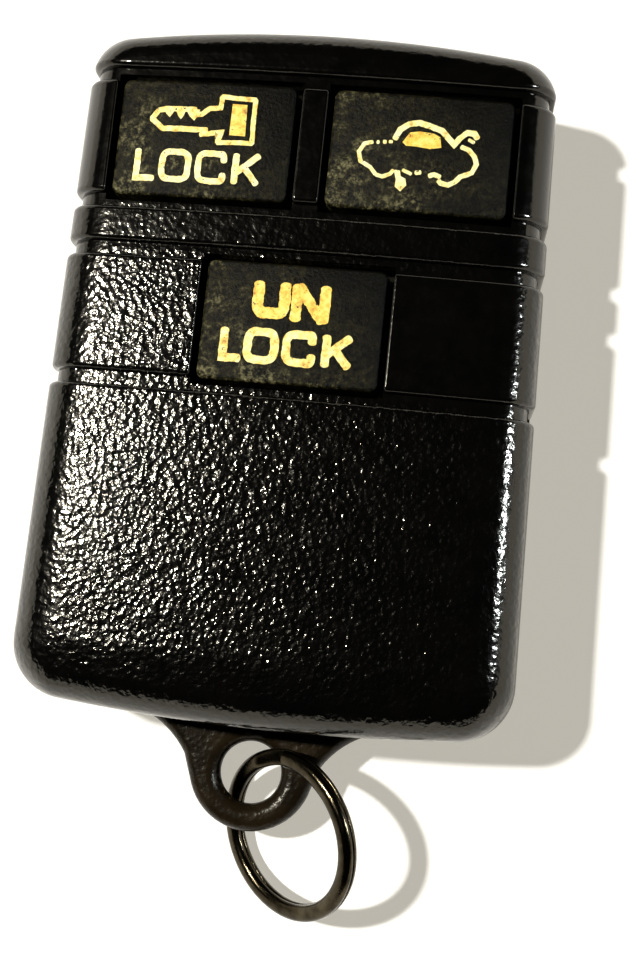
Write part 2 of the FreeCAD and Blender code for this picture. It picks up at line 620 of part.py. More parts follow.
def make_rear_cover():
    """Tray with a tongue that fits inside the front cover, posts, a nest for the cell and the lug."""
    outer, block = tray_block("RearOuter", "Fob.seam_setback", "0")
    round_edges(outer, "RearRoll", block,
                lambda bounds, middle: bounds.ZMax < NEAR, "Fob.back_roll")
    tongue_inset = "(Fob.wall + Fob.seam_gap)"
    hollow_inset = "(Fob.wall + Fob.seam_gap + Fob.tongue_wall)"
    tongue_body = new_body("Tongue")
    tongue_pad = pad(tongue_body, "TonguePad",
                     case_outline(tongue_body, "Fob.floor_wall", tongue_inset),
                     "Fob.parting_height + Fob.tongue_height - Fob.floor_wall")
    round_corners(tongue_body, tongue_pad, tongue_inset)
    hollow_body = new_body("RearHollow")
    hollow_pad = pad(hollow_body, "RearHollowPad",
                     case_outline(hollow_body, "Fob.floor_wall", hollow_inset), "Fob.face_height")
    round_corners(hollow_body, hollow_pad, hollow_inset)
    shell_parts = [outer, tongue_body] + beads("Bead", "Fob.bead_radius")
    tray = cut("RearTray", fuse("RearMass", shell_parts), hollow_body)
    rise = "Fob.board_underside - Fob.floor_wall"
    posts = at_posts(cylinder, "Post", "Fob.floor_wall", "Fob.post_radius", rise)
    pins = at_posts(cylinder, "Pin", "Fob.floor_wall", "Fob.pin_radius",
                    rise + " + Fob.board_thickness + Fob.pin_length")
    rests = []
    for side, word in SIDES:
        rests.append(cylinder("Rest" + word, "%d * Fob.rest_x" % side, "Fob.rest_y", "Fob.floor_wall",
                              "Fob.post_radius", rise))
    nest_inner = "Fob.cell_diameter / 2 + Fob.nest_gap"
    nest = cut("Nest",
               cylinder("NestOuter", "0", "Fob.cell_y", "Fob.floor_wall", nest_inner + " + Fob.nest_wall",
                        "Fob.nest_height"),
               hole("NestInner", "0", "Fob.cell_y", "Fob.floor_wall", nest_inner, "Fob.nest_height"))
    node(fuse("RearCover", [tray, nest, make_lug()] + posts + pins + rests), "rear_cover")


def make_button(name, label, x, y, start):
    """One rubber button with its crowned top and the pip under it."""
    body = new_body(name + "Button")
    low = "(Fob.face_height - Fob.button_recess - Fob.button_body)"
    sketch = new_sketch(body, name + "ButtonPlan", "XY_Plane", low)
    rectangle(sketch, x, y, "Fob.button_length", "Fob.button_width",
              start + (size("button_length"), size("button_width")))
    block = pad(body, name + "ButtonPad", sketch, "Fob.button_body + 1")
    block = round_edges(body, name + "ButtonCorners", block,
                        lambda bounds, middle: upright(bounds), "Fob.button_corner")
    block = cut_crown(body, block, "Fob.button_recess")
    base = size("face_height") - size("button_recess") - size("button_body")
    round_edges(body, name + "ButtonEdge", block,
                lambda bounds, middle: bounds.ZMin > base + size("button_body") / 2 and not upright(bounds)
                and bounds.ZLength < size("button_body") / 2,
                "Fob.button_soft_edge")
    plunger_top = "(Fob.board_underside + Fob.board_thickness + Fob.plunger_height)"
    pip_low = "(%s + Fob.pip_gap)" % plunger_top
    pip = cylinder(name + "Pip", x, y, pip_low, "Fob.pip_radius", "%s - %s + %g" % (low, pip_low, SINK))
    node(fuse(name + "ButtonWhole", [body, pip]), label)


def frustum(name, x, y, z, height, low_length, low_width, high_length, high_width):
    """A block with four sloped sides, centred on (x, y) and standing on z."""
    wedge = doc.addObject("Part::Wedge", name)
    bind(wedge, Xmin="-(%s) / 2" % low_length, Xmax="(%s) / 2" % low_length,
         Zmin="-(%s) / 2" % low_width, Zmax="(%s) / 2" % low_width,
         X2min="-(%s) / 2" % high_length, X2max="(%s) / 2" % high_length,
         Z2min="-(%s) / 2" % high_width, Z2max="(%s) / 2" % high_width,
         Ymin="0", Ymax=height)
    wedge.Placement.Rotation = FreeCAD.Rotation(Vector(1, 0, 0), 90)
    place(wedge, x, y, z)
    return wedge


def make_web(name, label, x, y):
    """The thin sloped skin that carries a button and buckles when it is pressed."""
    grow = " + 2 * Fob.web_reach"
    wall = " + 2 * Fob.web_wall"
    outer = frustum(name + "WebOuter", x, y, "Fob.keypad_underside", "Fob.web_height",
                    "Fob.button_length" + grow, "Fob.button_width" + grow,
                    "Fob.button_length" + wall, "Fob.button_width" + wall)
    inner = frustum(name + "WebInner", x, y, "Fob.keypad_underside", "Fob.web_height",
                    "Fob.button_length" + grow + " - 2 * Fob.web_wall",
                    "Fob.button_width" + grow + " - 2 * Fob.web_wall",
                    "Fob.button_length", "Fob.button_width")
    node(cut(name + "Web", outer, inner), label)


def make_keypad():
    """The rubber sheet that carries the three buttons, with feet that stand on the board."""
    reach = "(Fob.web_reach + Fob.keypad_rim)"
    plate = box("KeypadPlate", "0", "(Fob.upper_row + Fob.lower_row) / 2", "Fob.keypad_underside",
                "2 * (Fob.button_offset + %s) + Fob.button_length" % reach,
                "Fob.upper_row - Fob.lower_row + Fob.button_width + 2 * %s" % reach, "Fob.keypad_thickness")
    foot_low = "(Fob.board_underside + Fob.board_thickness + Fob.keypad_gap)"
    foot_rise = "Fob.keypad_underside - %s + %g" % (foot_low, SINK)
    middle_row = "(Fob.upper_row + Fob.lower_row) / 2"
    feet = []
    for side, word in SIDES:
        feet.append(cylinder("FootLow" + word, "%d * Fob.foot_low_x" % side, "Fob.foot_low_y", foot_low,
                             "Fob.foot_radius", foot_rise))
        feet.append(cylinder("FootMiddle" + word, "%d * Fob.foot_mid_x" % side, middle_row, foot_low,
                             "Fob.foot_radius", foot_rise))
    openings = window_boxes("KeypadOpening", "Fob.web_reach", "Fob.keypad_underside - %g" % PAST,
                            "Fob.keypad_thickness + %g" % (2 * PAST))
    for side, word in SIDES:
        openings.append(hole("KeypadHole" + word, "%d * Fob.post_upper_x" % side, "Fob.post_upper_y",
                             "Fob.keypad_underside", "Fob.post_radius + Fob.keypad_hole_gap",
                             "Fob.keypad_thickness"))
    sheet_and_feet = fuse("KeypadMass", [plate] + feet)
    node(cut("Keypad", sheet_and_feet, fuse("KeypadOpenings", openings)), "keypad_mat")


def make_board():
    """The circuit board, cut to the tray's outline, with holes for the four pins."""
    body = new_body("Board")
    inset = "(Fob.wall + Fob.seam_gap + Fob.tongue_wall + Fob.board_gap)"
    block = pad(body, "BoardPad", case_outline(body, "Fob.board_underside", inset), "Fob.board_thickness")
    round_corners(body, block, inset)
    holes = at_posts(hole, "BoardHole", "Fob.board_underside", "Fob.pin_radius + Fob.pin_gap",
                     "Fob.board_thickness")
    node(cut("CircuitBoard", body, fuse("BoardHoles", holes)), "circuit_board")


BOARD_TOP = "(Fob.board_underside + Fob.board_thickness)"


def make_switches():
    """Three push switches: housings and covers by kind, each plunger by itself."""
    places = (("Lock", "lock", "-Fob.button_offset", "Fob.upper_row"),
              ("Trunk", "trunk", "Fob.button_offset", "Fob.upper_row"),
              ("Unlock", "unlock", "0", "Fob.lower_row"))
    housings = []
    covers = []
    well = "Fob.plunger_radius + Fob.plunger_flange + Fob.plunger_gap"
    cover_low = BOARD_TOP + " + Fob.switch_height"
    for name, word, x, y in places:
        block = box(name + "SwitchBlock", x, y, BOARD_TOP, "Fob.switch_side", "Fob.switch_side",
                    "Fob.switch_height")
        pit = cylinder(name + "SwitchPit", x, y, BOARD_TOP + " + Fob.switch_well", well, "Fob.switch_height")
        housings.append(cut(name + "SwitchHousing", block, pit))
        plate = box(name + "SwitchPlate", x, y, cover_low, "Fob.switch_side", "Fob.switch_side",
                    "Fob.switch_cover")
        bore = hole(name + "SwitchBore", x, y, cover_low, "Fob.plunger_radius + Fob.plunger_gap",
                    "Fob.switch_cover")
        covers.append(cut(name + "SwitchCover", plate, bore))
        flange_low = cover_low + " - Fob.clip_gap - Fob.plunger_flange_height"
        stem = cylinder(name + "Stem", x, y, flange_low, "Fob.plunger_radius",
                        BOARD_TOP + " + Fob.plunger_height - (%s)" % flange_low)
        flange = cylinder(name + "Flange", x, y, flange_low, "Fob.plunger_radius + Fob.plunger_flange",
                          "Fob.plunger_flange_height")
        node(fuse(name + "Plunger", [stem, flange]), word + "_plunger")
    node(fuse("SwitchHousings", housings), "switch_housings")
    node(fuse("SwitchCovers", covers), "switch_covers")


def make_cell():
    """The coin cell: its can with the flat side down, the gasket and the cap."""
    low = "(Fob.floor_wall + 2 * Fob.clip_gap + Fob.clip_thickness)"
    radius = "Fob.cell_diameter / 2"
    can_height = "Fob.cell_height - Fob.cap_rise"
    can = cut("CellCan", cylinder("CanOuter", "0", "Fob.cell_y", low, radius, can_height),
              cylinder("CanInner", "0", "Fob.cell_y", low + " + Fob.cell_wall", radius + " - Fob.cell_wall",
                       "Fob.cell_height"))
    node(can, "battery_can")
    gasket_radius = radius + " - Fob.cell_wall"
    gasket = cut("CellGasket",
                 cylinder("GasketOuter", "0", "Fob.cell_y", low + " + Fob.cell_wall", gasket_radius,
                          can_height + " - Fob.cell_wall"),
                 cylinder("GasketInner", "0", "Fob.cell_y", low, gasket_radius + " - Fob.gasket_wall",
                          "Fob.cell_height"))
    node(gasket, "battery_gasket")
    cap_radius = gasket_radius + " - Fob.gasket_wall"
    cap = fuse("CellCap", [
        cylinder("CapBody", "0", "Fob.cell_y", low + " + Fob.cell_wall", cap_radius,
                 can_height + " - Fob.cell_wall"),
        cylinder("CapTop", "0", "Fob.cell_y", low + " + Fob.cell_wall", cap_radius + " - Fob.cap_inset",
                 "Fob.cell_height - Fob.cell_wall")])
    node(cap, "battery_cap")


def make_contacts():
    """A strap under the cell that reaches up to the board, and a leaf above it with a dimple."""
    strap_low = "(Fob.floor_wall + Fob.clip_gap)"
    outside = "(Fob.cell_diameter + 2 * Fob.arm_gap + 2 * Fob.clip_thickness)"
    pieces = [box("StrapFloor", "0", "Fob.cell_y", strap_low, outside, "Fob.clip_width", "Fob.clip_thickness")]
    for side, word in SIDES:
        pieces.append(box("StrapArm" + word, "%d * (%s - Fob.clip_thickness) / 2" % (side, outside),
                          "Fob.cell_y", strap_low, "Fob.clip_thickness", "Fob.clip_width",
                          "Fob.board_underside - %s" % strap_low))
    node(fuse("Strap", pieces), "battery_strap")
    cell_top = "(Fob.floor_wall + 2 * Fob.clip_gap + Fob.clip_thickness + Fob.cell_height)"
    leaf = box("LeafPlate", "0", "Fob.cell_y", "Fob.board_underside - Fob.clip_thickness", "Fob.leaf_length",
               "Fob.leaf_width", "Fob.clip_thickness")
    dimple = cylinder("LeafDimple", "0", "Fob.cell_y", cell_top + " + Fob.clip_gap / 2", "Fob.dimple_radius",
                      "Fob.board_underside - %s - Fob.clip_gap / 2" % cell_top)
    node(fuse("Leaf", [leaf, dimple]), "battery_leaf")


def make_aerial():
    """The copper loop on the board that sends the signal."""
    middle = "(Fob.track_top + Fob.track_bottom) / 2"
    length = "2 * Fob.track_half_width"
    width = "Fob.track_top - Fob.track_bottom"
    outer = box("TrackOuter", "0", middle, BOARD_TOP, length, width, "Fob.track_height")
    inner = box("TrackInner", "0", middle, "%s - %g" % (BOARD_TOP, PAST), length + " - 2 * Fob.track_width",
                width + " - 2 * Fob.track_width", "Fob.track_height + %g" % (2 * PAST))
    node(cut("Track", outer, inner), "aerial_track")


def make_chip(name, word, count):
    """A chip's body, and its leads as bent strips cut into equal pieces."""
    length = "Fob.%s_length" % word
    width = "Fob.%s_width" % word
    x = "Fob.%s_x" % word
    y = "Fob.%s_y" % word
    height = "Fob.%s_height" % word
    node(box(name + "Body", x, y, BOARD_TOP + " + Fob.chip_standoff", length, width, height), word + "_body")
    strips = []
    for side, edge in ((-1, "Low"), (1, "High")):
        foot_y = "%s + %d * (%s + Fob.lead_reach) / 2" % (y, side, width)
        strips.append(box(name + "Foot" + edge, x, foot_y, BOARD_TOP, length, "Fob.lead_reach",
                          "Fob.lead_thickness"))
        riser_y = "%s + %d * (%s + Fob.lead_thickness) / 2" % (y, side, width)
        strips.append(box(name + "Riser" + edge, x, riser_y, BOARD_TOP, length, "Fob.lead_thickness",
                          "Fob.chip_standoff + %s / 2" % height))
    slices = []
    for index in range(count):
        slice_x = "%s + %s * Fob.lead_distance" % (x, index - (count - 1) / 2)
        slices.append(box("%sSlice%d" % (name, index), slice_x, y, "%s - %g" % (BOARD_TOP, PAST),
                          "Fob.lead_width", width + " + 4 * Fob.lead_reach", "%s + %g" % (height, 2 * PAST)))
    node(common(name + "Leads", fuse(name + "Strips", strips), fuse(name + "Slices", slices)),
         word + "_leads")


def make_small_parts():
    """The resonator, transistor, inductor, capacitors and resistors on the board."""
    can = cylinder("ResonatorCan", "Fob.resonator_x", "Fob.resonator_y", BOARD_TOP,
                   "Fob.resonator_radius", "Fob.resonator_height")
    flange = cylinder("ResonatorFlange", "Fob.resonator_x", "Fob.resonator_y", BOARD_TOP,
                      "Fob.resonator_radius + Fob.resonator_rim", "Fob.resonator_rim")
    node(fuse("Resonator", [can, flange]), "resonator")
    node(box("Transistor", "Fob.transistor_x", "Fob.parts_row", BOARD_TOP, "Fob.transistor_length",
             "Fob.transistor_width", "Fob.transistor_height"), "transistor")
    node(box("Inductor", "Fob.inductor_x", "Fob.parts_row", BOARD_TOP, "Fob.inductor_length",
             "Fob.inductor_width", "Fob.inductor_height"), "inductor")
    for name, label, row, first, count, height in (
            ("Capacitor", "capacitors", "Fob.parts_row", "-2.5", 6, "Fob.capacitor_height"),
            ("Resistor", "resistors", "Fob.resistor_row", "-4.0", 4, "Fob.resistor_height")):
        pieces = []
        for index in range(count):
            x = "(%s + %d) * Fob.passive_distance" % (first, index)
            pieces.append(box("%s%d" % (name, index), x, row, BOARD_TOP, "Fob.passive_length",
                              "Fob.passive_width", height))
        node(fuse(name + "s", pieces), label)


def wire_section():
    """Section of one turn of the ring's wire, in the XZ plane: a rectangle with rounded corners."""
    sketch = doc.addObject("Sketcher::SketchObject", "WireSection")
    sketch.Placement.Rotation = FreeCAD.Rotation(Vector(1, 0, 0), 90)
    middle = size("ring_radius")
    half_width = size("ring_wire") / 2
    half_turn = size("ring_turn") / 2
    radius = size("ring_wire_round")
    corners = ((1, 1, 0), (-1, 1, 90), (-1, -1, 180), (1, -1, 270))
    arcs = []
    for across, up, first in corners:
        centre = Vector(middle + across * (half_width - radius), up * (half_turn - radius), 0)
        circle = Part.Circle(centre, Vector(0, 0, 1), radius)
        arcs.append(Part.ArcOfCircle(circle, math.radians(first), math.radians(first + 90)))
    for index, arc in enumerate(arcs):
        sketch.addGeometry(arc, False)
        following = arcs[(index + 1) % 4]
        sketch.addGeometry(Part.LineSegment(arc.EndPoint, following.StartPoint), False)
    return sketch


def turn_of_wire(name, section, level):
    """One flat turn that leaves out the stretch where the wire climbs."""
    turn = doc.addObject("Part::Revolution", name)
    turn.Source = section
    turn.Axis = Vector(0, 0, 1)
    turn.Base = Vector(0, 0, 0)
    turn.Solid = True
    turn.setExpression("Angle", "360 - Fob.ring_step - %g" % WIRE_END)
    turn.setExpression("Placement.Base.z", level)
    return turn


def make_key_ring():
    """A split ring: two flat turns of wire, joined where the wire climbs from one to the other."""
    section = wire_section()
    pitch = "(Fob.ring_turn + Fob.ring_turn_gap)"
    lower = turn_of_wire("LowerTurn", section, "-%s / 2" % pitch)
    upper = turn_of_wire("UpperTurn", section, "%s / 2" % pitch)
    step = size("ring_step")
    lower.Placement.Rotation = FreeCAD.Rotation(Vector(0, 0, 1), step + WIRE_END)
    upper.Placement.Rotation = FreeCAD.Rotation(Vector(0, 0, 1), step)
    helix = doc.addObject("Part::Helix", "ClimbPath")
    bind(helix, Radius="Fob.ring_radius", Height=pitch, Pitch=pitch + " * 360 / Fob.ring_step")
    climb = doc.addObject("Part::Sweep", "Climb")
    climb.Sections = [section]
    climb.Spine = (helix, ["Edge1"])
    climb.Solid = True
    climb.Frenet = True
    climb.setExpression("Placement.Base.z", "-%s / 2" % pitch)
    ring = node(fuse("KeyRing", [lower, climb, upper]), "key_ring")
    ring.Placement = ring_placement()


def ring_placement():
    """Where the ring lies: through the lug's hole, tilted, with its lowest point on the table."""
    tilt = math.radians(size("ring_tilt"))
    heading = math.radians(size("ring_heading"))
    radius = size("ring_radius")
    half_height = size("ring_turn") + size("ring_turn_gap") / 2
    half_wire = size("ring_wire") / 2
    corner = size("ring_wire_round")
    reach_down = ((half_wire - corner) * math.sin(tilt) + (half_height - corner) * math.cos(tilt) + corner)
    centre_z = radius * math.sin(tilt) + reach_down + size("ring_lift")
    down_slope = (size("lug_middle") - centre_z) / math.sin(tilt)
    along = math.sqrt(radius ** 2 - down_slope ** 2)
    level = Vector(-math.sin(heading), math.cos(heading), 0)
    slope = Vector(math.cos(heading), math.sin(heading), 0) * math.cos(tilt)
    hole_y = -size("case_length") / 2 - size("lug_drop")
    crossing = Vector(size("lug_x"), hole_y + size("ring_in_hole"), 0)
    centre = crossing - level * along - slope * down_slope
    centre.z = centre_z
    turn = FreeCAD.Rotation(size("ring_heading"), -size("ring_tilt"), 0)
    spin = FreeCAD.Rotation(Vector(0, 0, 1), size("ring_step_place"))
    return FreeCAD.Placement(centre, turn.multiply(spin))


def check_and_write():
    """Stop on any failed object, then write one file for each sub-part."""
    doc.recompute()
    for thing in doc.Objects:
        if "Invalid" in thing.State or "Error" in thing.State:
            raise RuntimeError("%s failed: %s" % (thing.Name, thing.State))
    for thing in nodes:
        if thing.Shape.isNull() or not thing.Shape.isValid() or not thing.Shape.Solids:
            raise RuntimeError("%s has no valid shape" % thing.Label)
    os.makedirs("parts", exist_ok=True)
    for thing in nodes:
        thing.Shape.exportStep("parts/%s.step" % thing.Label)
        print("%s: %d solid(s), %.2f mm3" % (thing.Label, len(thing.Shape.Solids), thing.Shape.Volume))


make_front_cover()
make_rear_cover()
make_keypad()
for key, word, key_x, key_y, first in (
        ("Lock", "lock", "-Fob.button_offset", "Fob.upper_row", (-size("button_offset"), size("upper_row"))),
        ("Trunk", "trunk", "Fob.button_offset", "Fob.upper_row", (size("button_offset"), size("upper_row"))),
        ("Unlock", "unlock", "0", "Fob.lower_row", (0.0, size("lower_row")))):
    make_button(key, word + "_button", key_x, key_y, first)
    make_web(key, word + "_web", key_x, key_y)
make_board()
make_switches()
make_cell()
make_contacts()
make_aerial()
make_chip("Controller", "controller", 10)
make_chip("Memory", "memory", 4)
make_small_parts()
make_key_ring()
check_and_write()
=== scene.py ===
"""Looks of the car key fob: finishes for the CAD pieces, painted button legends, floor, lights and camera."""

import json
import math

import bmesh
import bpy
from mathutils import Matrix, Vector, noise
from mathutils.bvhtree import BVHTree

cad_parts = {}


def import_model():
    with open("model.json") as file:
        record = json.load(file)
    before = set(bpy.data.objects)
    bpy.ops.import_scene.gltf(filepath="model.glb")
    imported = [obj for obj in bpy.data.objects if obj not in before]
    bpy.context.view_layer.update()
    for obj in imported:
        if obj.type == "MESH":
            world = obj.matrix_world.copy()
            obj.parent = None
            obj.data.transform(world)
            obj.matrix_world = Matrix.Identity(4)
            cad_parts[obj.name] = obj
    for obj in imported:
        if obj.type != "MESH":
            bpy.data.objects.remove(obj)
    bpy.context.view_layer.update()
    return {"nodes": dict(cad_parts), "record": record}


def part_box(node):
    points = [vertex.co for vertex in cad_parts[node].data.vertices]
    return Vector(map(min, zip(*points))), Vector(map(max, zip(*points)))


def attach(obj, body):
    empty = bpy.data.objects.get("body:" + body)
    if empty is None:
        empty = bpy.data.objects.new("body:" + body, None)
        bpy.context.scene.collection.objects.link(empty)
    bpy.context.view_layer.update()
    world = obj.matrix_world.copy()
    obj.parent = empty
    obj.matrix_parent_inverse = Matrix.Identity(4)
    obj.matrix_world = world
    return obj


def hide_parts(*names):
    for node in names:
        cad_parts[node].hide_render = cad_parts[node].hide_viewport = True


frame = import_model()

MM = 0.001
scene = bpy.context.scene


def mm(*values):
    """Millimetres as a vector in metres."""
    return Vector(values) * MM


# Camera: where the photograph was taken from, fitted to the buttons' corners and the sides of the case.
CAMERA_PLACE = mm(12.95, -18.317, 104.412)
CAMERA_TURN = (6.95309, 5.29137, 5.89516)
SENSOR = 36.0
FOCAL_PIXELS = 1300.0
IMAGE_HEIGHT = 960.0

# Key light: upper left, where it gives the photograph's shadows at the case's height. Side lamp: low, at the right.
KEY_DIRECTION = Vector((-0.602, 0.15, 1.0)).normalized()
KEY_DISTANCE = 0.6
KEY_SIDE = 0.026
KEY_POWER = 5.4
SIDE_DIRECTION = Vector((1.0, 0.1, 0.65)).normalized()
SIDE_DISTANCE = 0.35
SIDE_SIZE = (0.02, 0.05)
SIDE_POWER = 0.9
WORLD_GREY = 0.008

# The floor turns up into a pale wall, so that low views have the same background.
FLOOR_RADIUS = 0.85
WALL_HEIGHT = 0.28
WALL_BEND = 0.12


def camera():
    """The photograph's camera, without shift or depth of field."""
    data = bpy.data.cameras.new("Camera")
    data.sensor_width = SENSOR
    data.lens = SENSOR * FOCAL_PIXELS / IMAGE_HEIGHT
    data.clip_start = 0.005
    data.clip_end = 5.0
    item = bpy.data.objects.new("Camera", data)
    scene.collection.objects.link(item)
    item.location = CAMERA_PLACE
    item.rotation_euler = [math.radians(angle) for angle in CAMERA_TURN]
    scene.camera = item


def area_light(name, direction, distance, size, power, colour):
    """A soft rectangular lamp that looks at the fob."""
    data = bpy.data.lights.new(name, "AREA")
    data.shape = "RECTANGLE"
    data.size, data.size_y = size
    data.energy = power
    data.color = colour
    item = bpy.data.objects.new(name, data)
    scene.collection.objects.link(item)
    item.location = direction * distance
    item.rotation_mode = "QUATERNION"
    item.rotation_quaternion = (-direction).to_track_quat("-Z", "Y")
    return item


# Noise lies mostly between these, so tones and gloss run from one to the other.
NOISE_LOW = 0.3
NOISE_HIGH = 0.7


class Finish:
    """A material with a few shorthands for wiring its nodes."""

    def __init__(self, name):
        self.material = bpy.data.materials.new(name)
        self.material.use_nodes = True
        self.tree = self.material.node_tree
        self.shader = self.tree.nodes["Principled BSDF"]

    def node(self, kind, inputs=None, **settings):
        """A new node with its settings, and with its inputs linked or set."""
        item = self.tree.nodes.new(kind)
        for name, value in settings.items():
            setattr(item, name, value)
        for name, value in (inputs or {}).items():
            self.feed(item.inputs[name], value)
        return item

    def feed(self, socket, value):
        """Link a socket, or set its value."""
        if isinstance(value, bpy.types.NodeSocket):
            self.tree.links.new(value, socket)
        else:
            socket.default_value = value

    def set(self, **values):
        """Values or links for the shader's sockets, with _ for a space."""
        for name, value in values.items():
            self.feed(self.shader.inputs[name.replace("_", " ")], value)

    def place(self):
        """The place of the shaded point on the fob, in millimetres."""
        source = self.node("ShaderNodeTexCoord").outputs["Object"]
        return self.node("ShaderNodeVectorMath", {0: source, 3: 1 / MM}, operation="SCALE").outputs[0]

    def axes(self, place):
        """The three numbers of a place."""
        return self.node("ShaderNodeSeparateXYZ", {0: place}).outputs

    def noise(self, place, scale, detail=2.0, roughness=0.5, distortion=0.0):
        """Noise with scale bumps to the millimetre."""
        return self.node("ShaderNodeTexNoise", {"Vector": place, "Scale": scale, "Detail": detail,
                                                "Roughness": roughness, "Distortion": distortion}).outputs["Fac"]

    def pebbles(self, place, scale):
        """Cells with soft tops, scale cells to the millimetre."""
        return self.node("ShaderNodeTexVoronoi", {"Vector": place, "Scale": scale, "Smoothness": 0.35},
                         feature="SMOOTH_F1").outputs["Distance"]

    def math(self, operation, *values):
        """The result of a math node, by Blender's name for what it does."""
        item = self.node("ShaderNodeMath", operation=operation)
        for index, value in enumerate(values):
            self.feed(item.inputs[index], value)
        return item.outputs[0]

    def product(self, first, *others):
        """All values multiplied."""
        for other in others:
            first = self.math("MULTIPLY", first, other)
        return first

    def total(self, first, *others):
        """All values added up."""
        for other in others:
            first = self.math("ADD", first, other)
        return first

    def span(self, value, low, high, to_low=0.0, to_high=1.0):
        """A value's stretch from low to high, stretched to another one and held at its ends."""
        return self.node("ShaderNodeMapRange", {"Value": value, "From Min": low, "From Max": high,
                                                "To Min": to_low, "To Max": to_high}).outputs[0]

    def blend(self, value, low, high, to_low, to_high):
        """Like span, with soft ends."""
        return self.node("ShaderNodeMapRange", {"Value": value, "From Min": low, "From Max": high, "To Min": to_low,
                                                "To Max": to_high}, interpolation_type="SMOOTHSTEP").outputs[0]

    def colours(self, value, *stops):
        """Colours along a value: pairs of place and (r, g, b)."""
        ramp = self.node("ShaderNodeValToRGB", {"Fac": value})
        entries = ramp.color_ramp.elements
        while len(entries) < len(stops):
            entries.new(1.0)
        for entry, (at, colour) in zip(entries, stops):
            entry.position = at
            entry.color = (*colour, 1.0)
        return ramp.outputs["Color"]

    def tones(self, value, dark, light):
        """A colour between two, over the usual stretch of noise."""
        return self.colours(value, (NOISE_LOW, dark), (NOISE_HIGH, light))

    def varied(self, value, low, high):
        """A number between two, over the usual stretch of noise."""
        return self.span(value, NOISE_LOW, NOISE_HIGH, low, high)

    def bump(self, height, depth):
        """Relief of the given depth, in millimetres."""
        self.set(Normal=self.node("ShaderNodeBump", {"Height": height, "Distance": depth * MM}).outputs[0])


# The front cover in millimetres: half its length, and half its width at either end.
CASE_HALF_LENGTH = 26.15
CASE_HALF_TOP = 17.85
CASE_HALF_BOTTOM = 18.55

# Its shell turns down softly towards its sides and its lower end: how far in, and by how much.
SIDE_ROLL = 3.6
SIDE_DROP = 0.5
END_ROLL = 5.4
END_DROP = 0.55

# Where its grain is weaker: each pair is a soft border, from outside to inside.
CAP_BORDER = (21.6, 22.0)
ROW_BORDER = (11.7, 12.1)
BAND_BORDERS = ((8.3, 8.6), (12.1, 11.7))
PANEL_BORDERS_X = ((4.0, 5.0), (16.4, 15.9))
PANEL_BORDERS_Y = ((-2.0, -1.6), (8.3, 7.9))
CAP_SMOOTH = 0.75
ROW_SMOOTH = 0.8
BAND_SMOOTH = 0.45
PANEL_SMOOTH = 0.85
MOST_SMOOTH = 0.9

# Where it fades towards the edges: from where to where, and what is left of it at the outer place.
FADE_HEIGHT = (9.0, 10.8, 0.12, 1.0)
FADE_SIDE = (1.0, 6.0, 0.4, 1.0)
FADE_END = (-25.4, -23.4, 0.3, 1.0)


def shell_relief(finish, place, grain, grain_depth):
    """The front cover's grain, weaker in its smoother zones and at its edges, on the soft turn of its shell."""
    x, y, z = finish.axes(place)
    cap = finish.span(y, *CAP_BORDER)
    row = finish.product(finish.span(y, *ROW_BORDER), finish.math("SUBTRACT", 1.0, cap))
    band = finish.product(*[finish.span(y, *border) for border in BAND_BORDERS])
    panel = finish.product(*[finish.span(x, *border) for border in PANEL_BORDERS_X],
                           *[finish.span(y, *border) for border in PANEL_BORDERS_Y])
    smooth = finish.total(finish.product(cap, CAP_SMOOTH), finish.product(band, BAND_SMOOTH),
                          finish.product(row, ROW_SMOOTH), finish.product(panel, PANEL_SMOOTH))
    half = finish.span(y, -CASE_HALF_LENGTH, CASE_HALF_LENGTH, CASE_HALF_BOTTOM, CASE_HALF_TOP)
    side = finish.math("SUBTRACT", half, finish.math("ABSOLUTE", x))
    level = finish.product(finish.math("SUBTRACT", 1.0, finish.math("MINIMUM", smooth, MOST_SMOOTH)),
                           finish.span(z, *FADE_HEIGHT), finish.span(side, *FADE_SIDE), finish.span(y, *FADE_END))
    roll = finish.total(finish.blend(side, 0.0, SIDE_ROLL, -SIDE_DROP, 0.0),
                        finish.blend(y, -CASE_HALF_LENGTH, END_ROLL - CASE_HALF_LENGTH, -END_DROP, 0.0))
    return finish.total(finish.product(grain, level), finish.math("DIVIDE", roll, grain_depth))


# Grain of the shells: bumps to the millimetre of its noise and of its pebbles, and what each adds to its height. Then
# how far their roughness strays from its middle, and the tint of what they reflect.
GRAIN_NOISE = 2.5
GRAIN_PEBBLES = 2.2
NOISE_SHARE = 1.3
PEBBLE_SHARE = 0.9
SHELL_ROUGH_SPREAD = 0.03
SHELL_TINT = (1.0, 0.96, 0.86, 1.0)


def case_plastic(name, grain_depth, dark, light, rough, specular, zones=False):
    """Black moulded plastic with spark-eroded grain; with zones, as on the front cover."""
    finish = Finish(name)
    place = finish.place()
    grain = finish.total(finish.product(finish.noise(place, GRAIN_NOISE, distortion=0.3), NOISE_SHARE),
                         finish.product(finish.pebbles(place, GRAIN_PEBBLES), PEBBLE_SHARE))
    if zones:
        grain = shell_relief(finish, place, grain, grain_depth)
    finish.bump(grain, grain_depth)
    finish.set(Base_Color=finish.tones(finish.noise(place, 0.35, detail=3.0), dark, light),
               Roughness=finish.varied(finish.noise(place, 1.1, detail=4.0),
                                       rough - SHELL_ROUGH_SPREAD, rough + SHELL_ROUGH_SPREAD),
               Specular_IOR_Level=specular, Specular_Tint=SHELL_TINT)
    return finish.material


# Buttons: height of the dome over a square millimetre off the middle, and height of the grain.
DOME_ACROSS = -0.013
DOME_ALONG = -0.012
BUTTON_GRAIN = 0.10

# Dust and painted sheen, lighter towards the lower left: its amount at a button's middle, its fall over a millimetre
# to the right and upwards, and the stretches of noise over which its patches and its specks grow.
DUST_AND_SHEEN_MIDDLE = 0.45
DUST_AND_SHEEN_FALL = 0.05
DUST_AND_SHEEN_PATCHES = (0.35, 0.65, 0.25, 1.0)
DUST_AND_SHEEN_SPECKS = (0.40, 0.66)


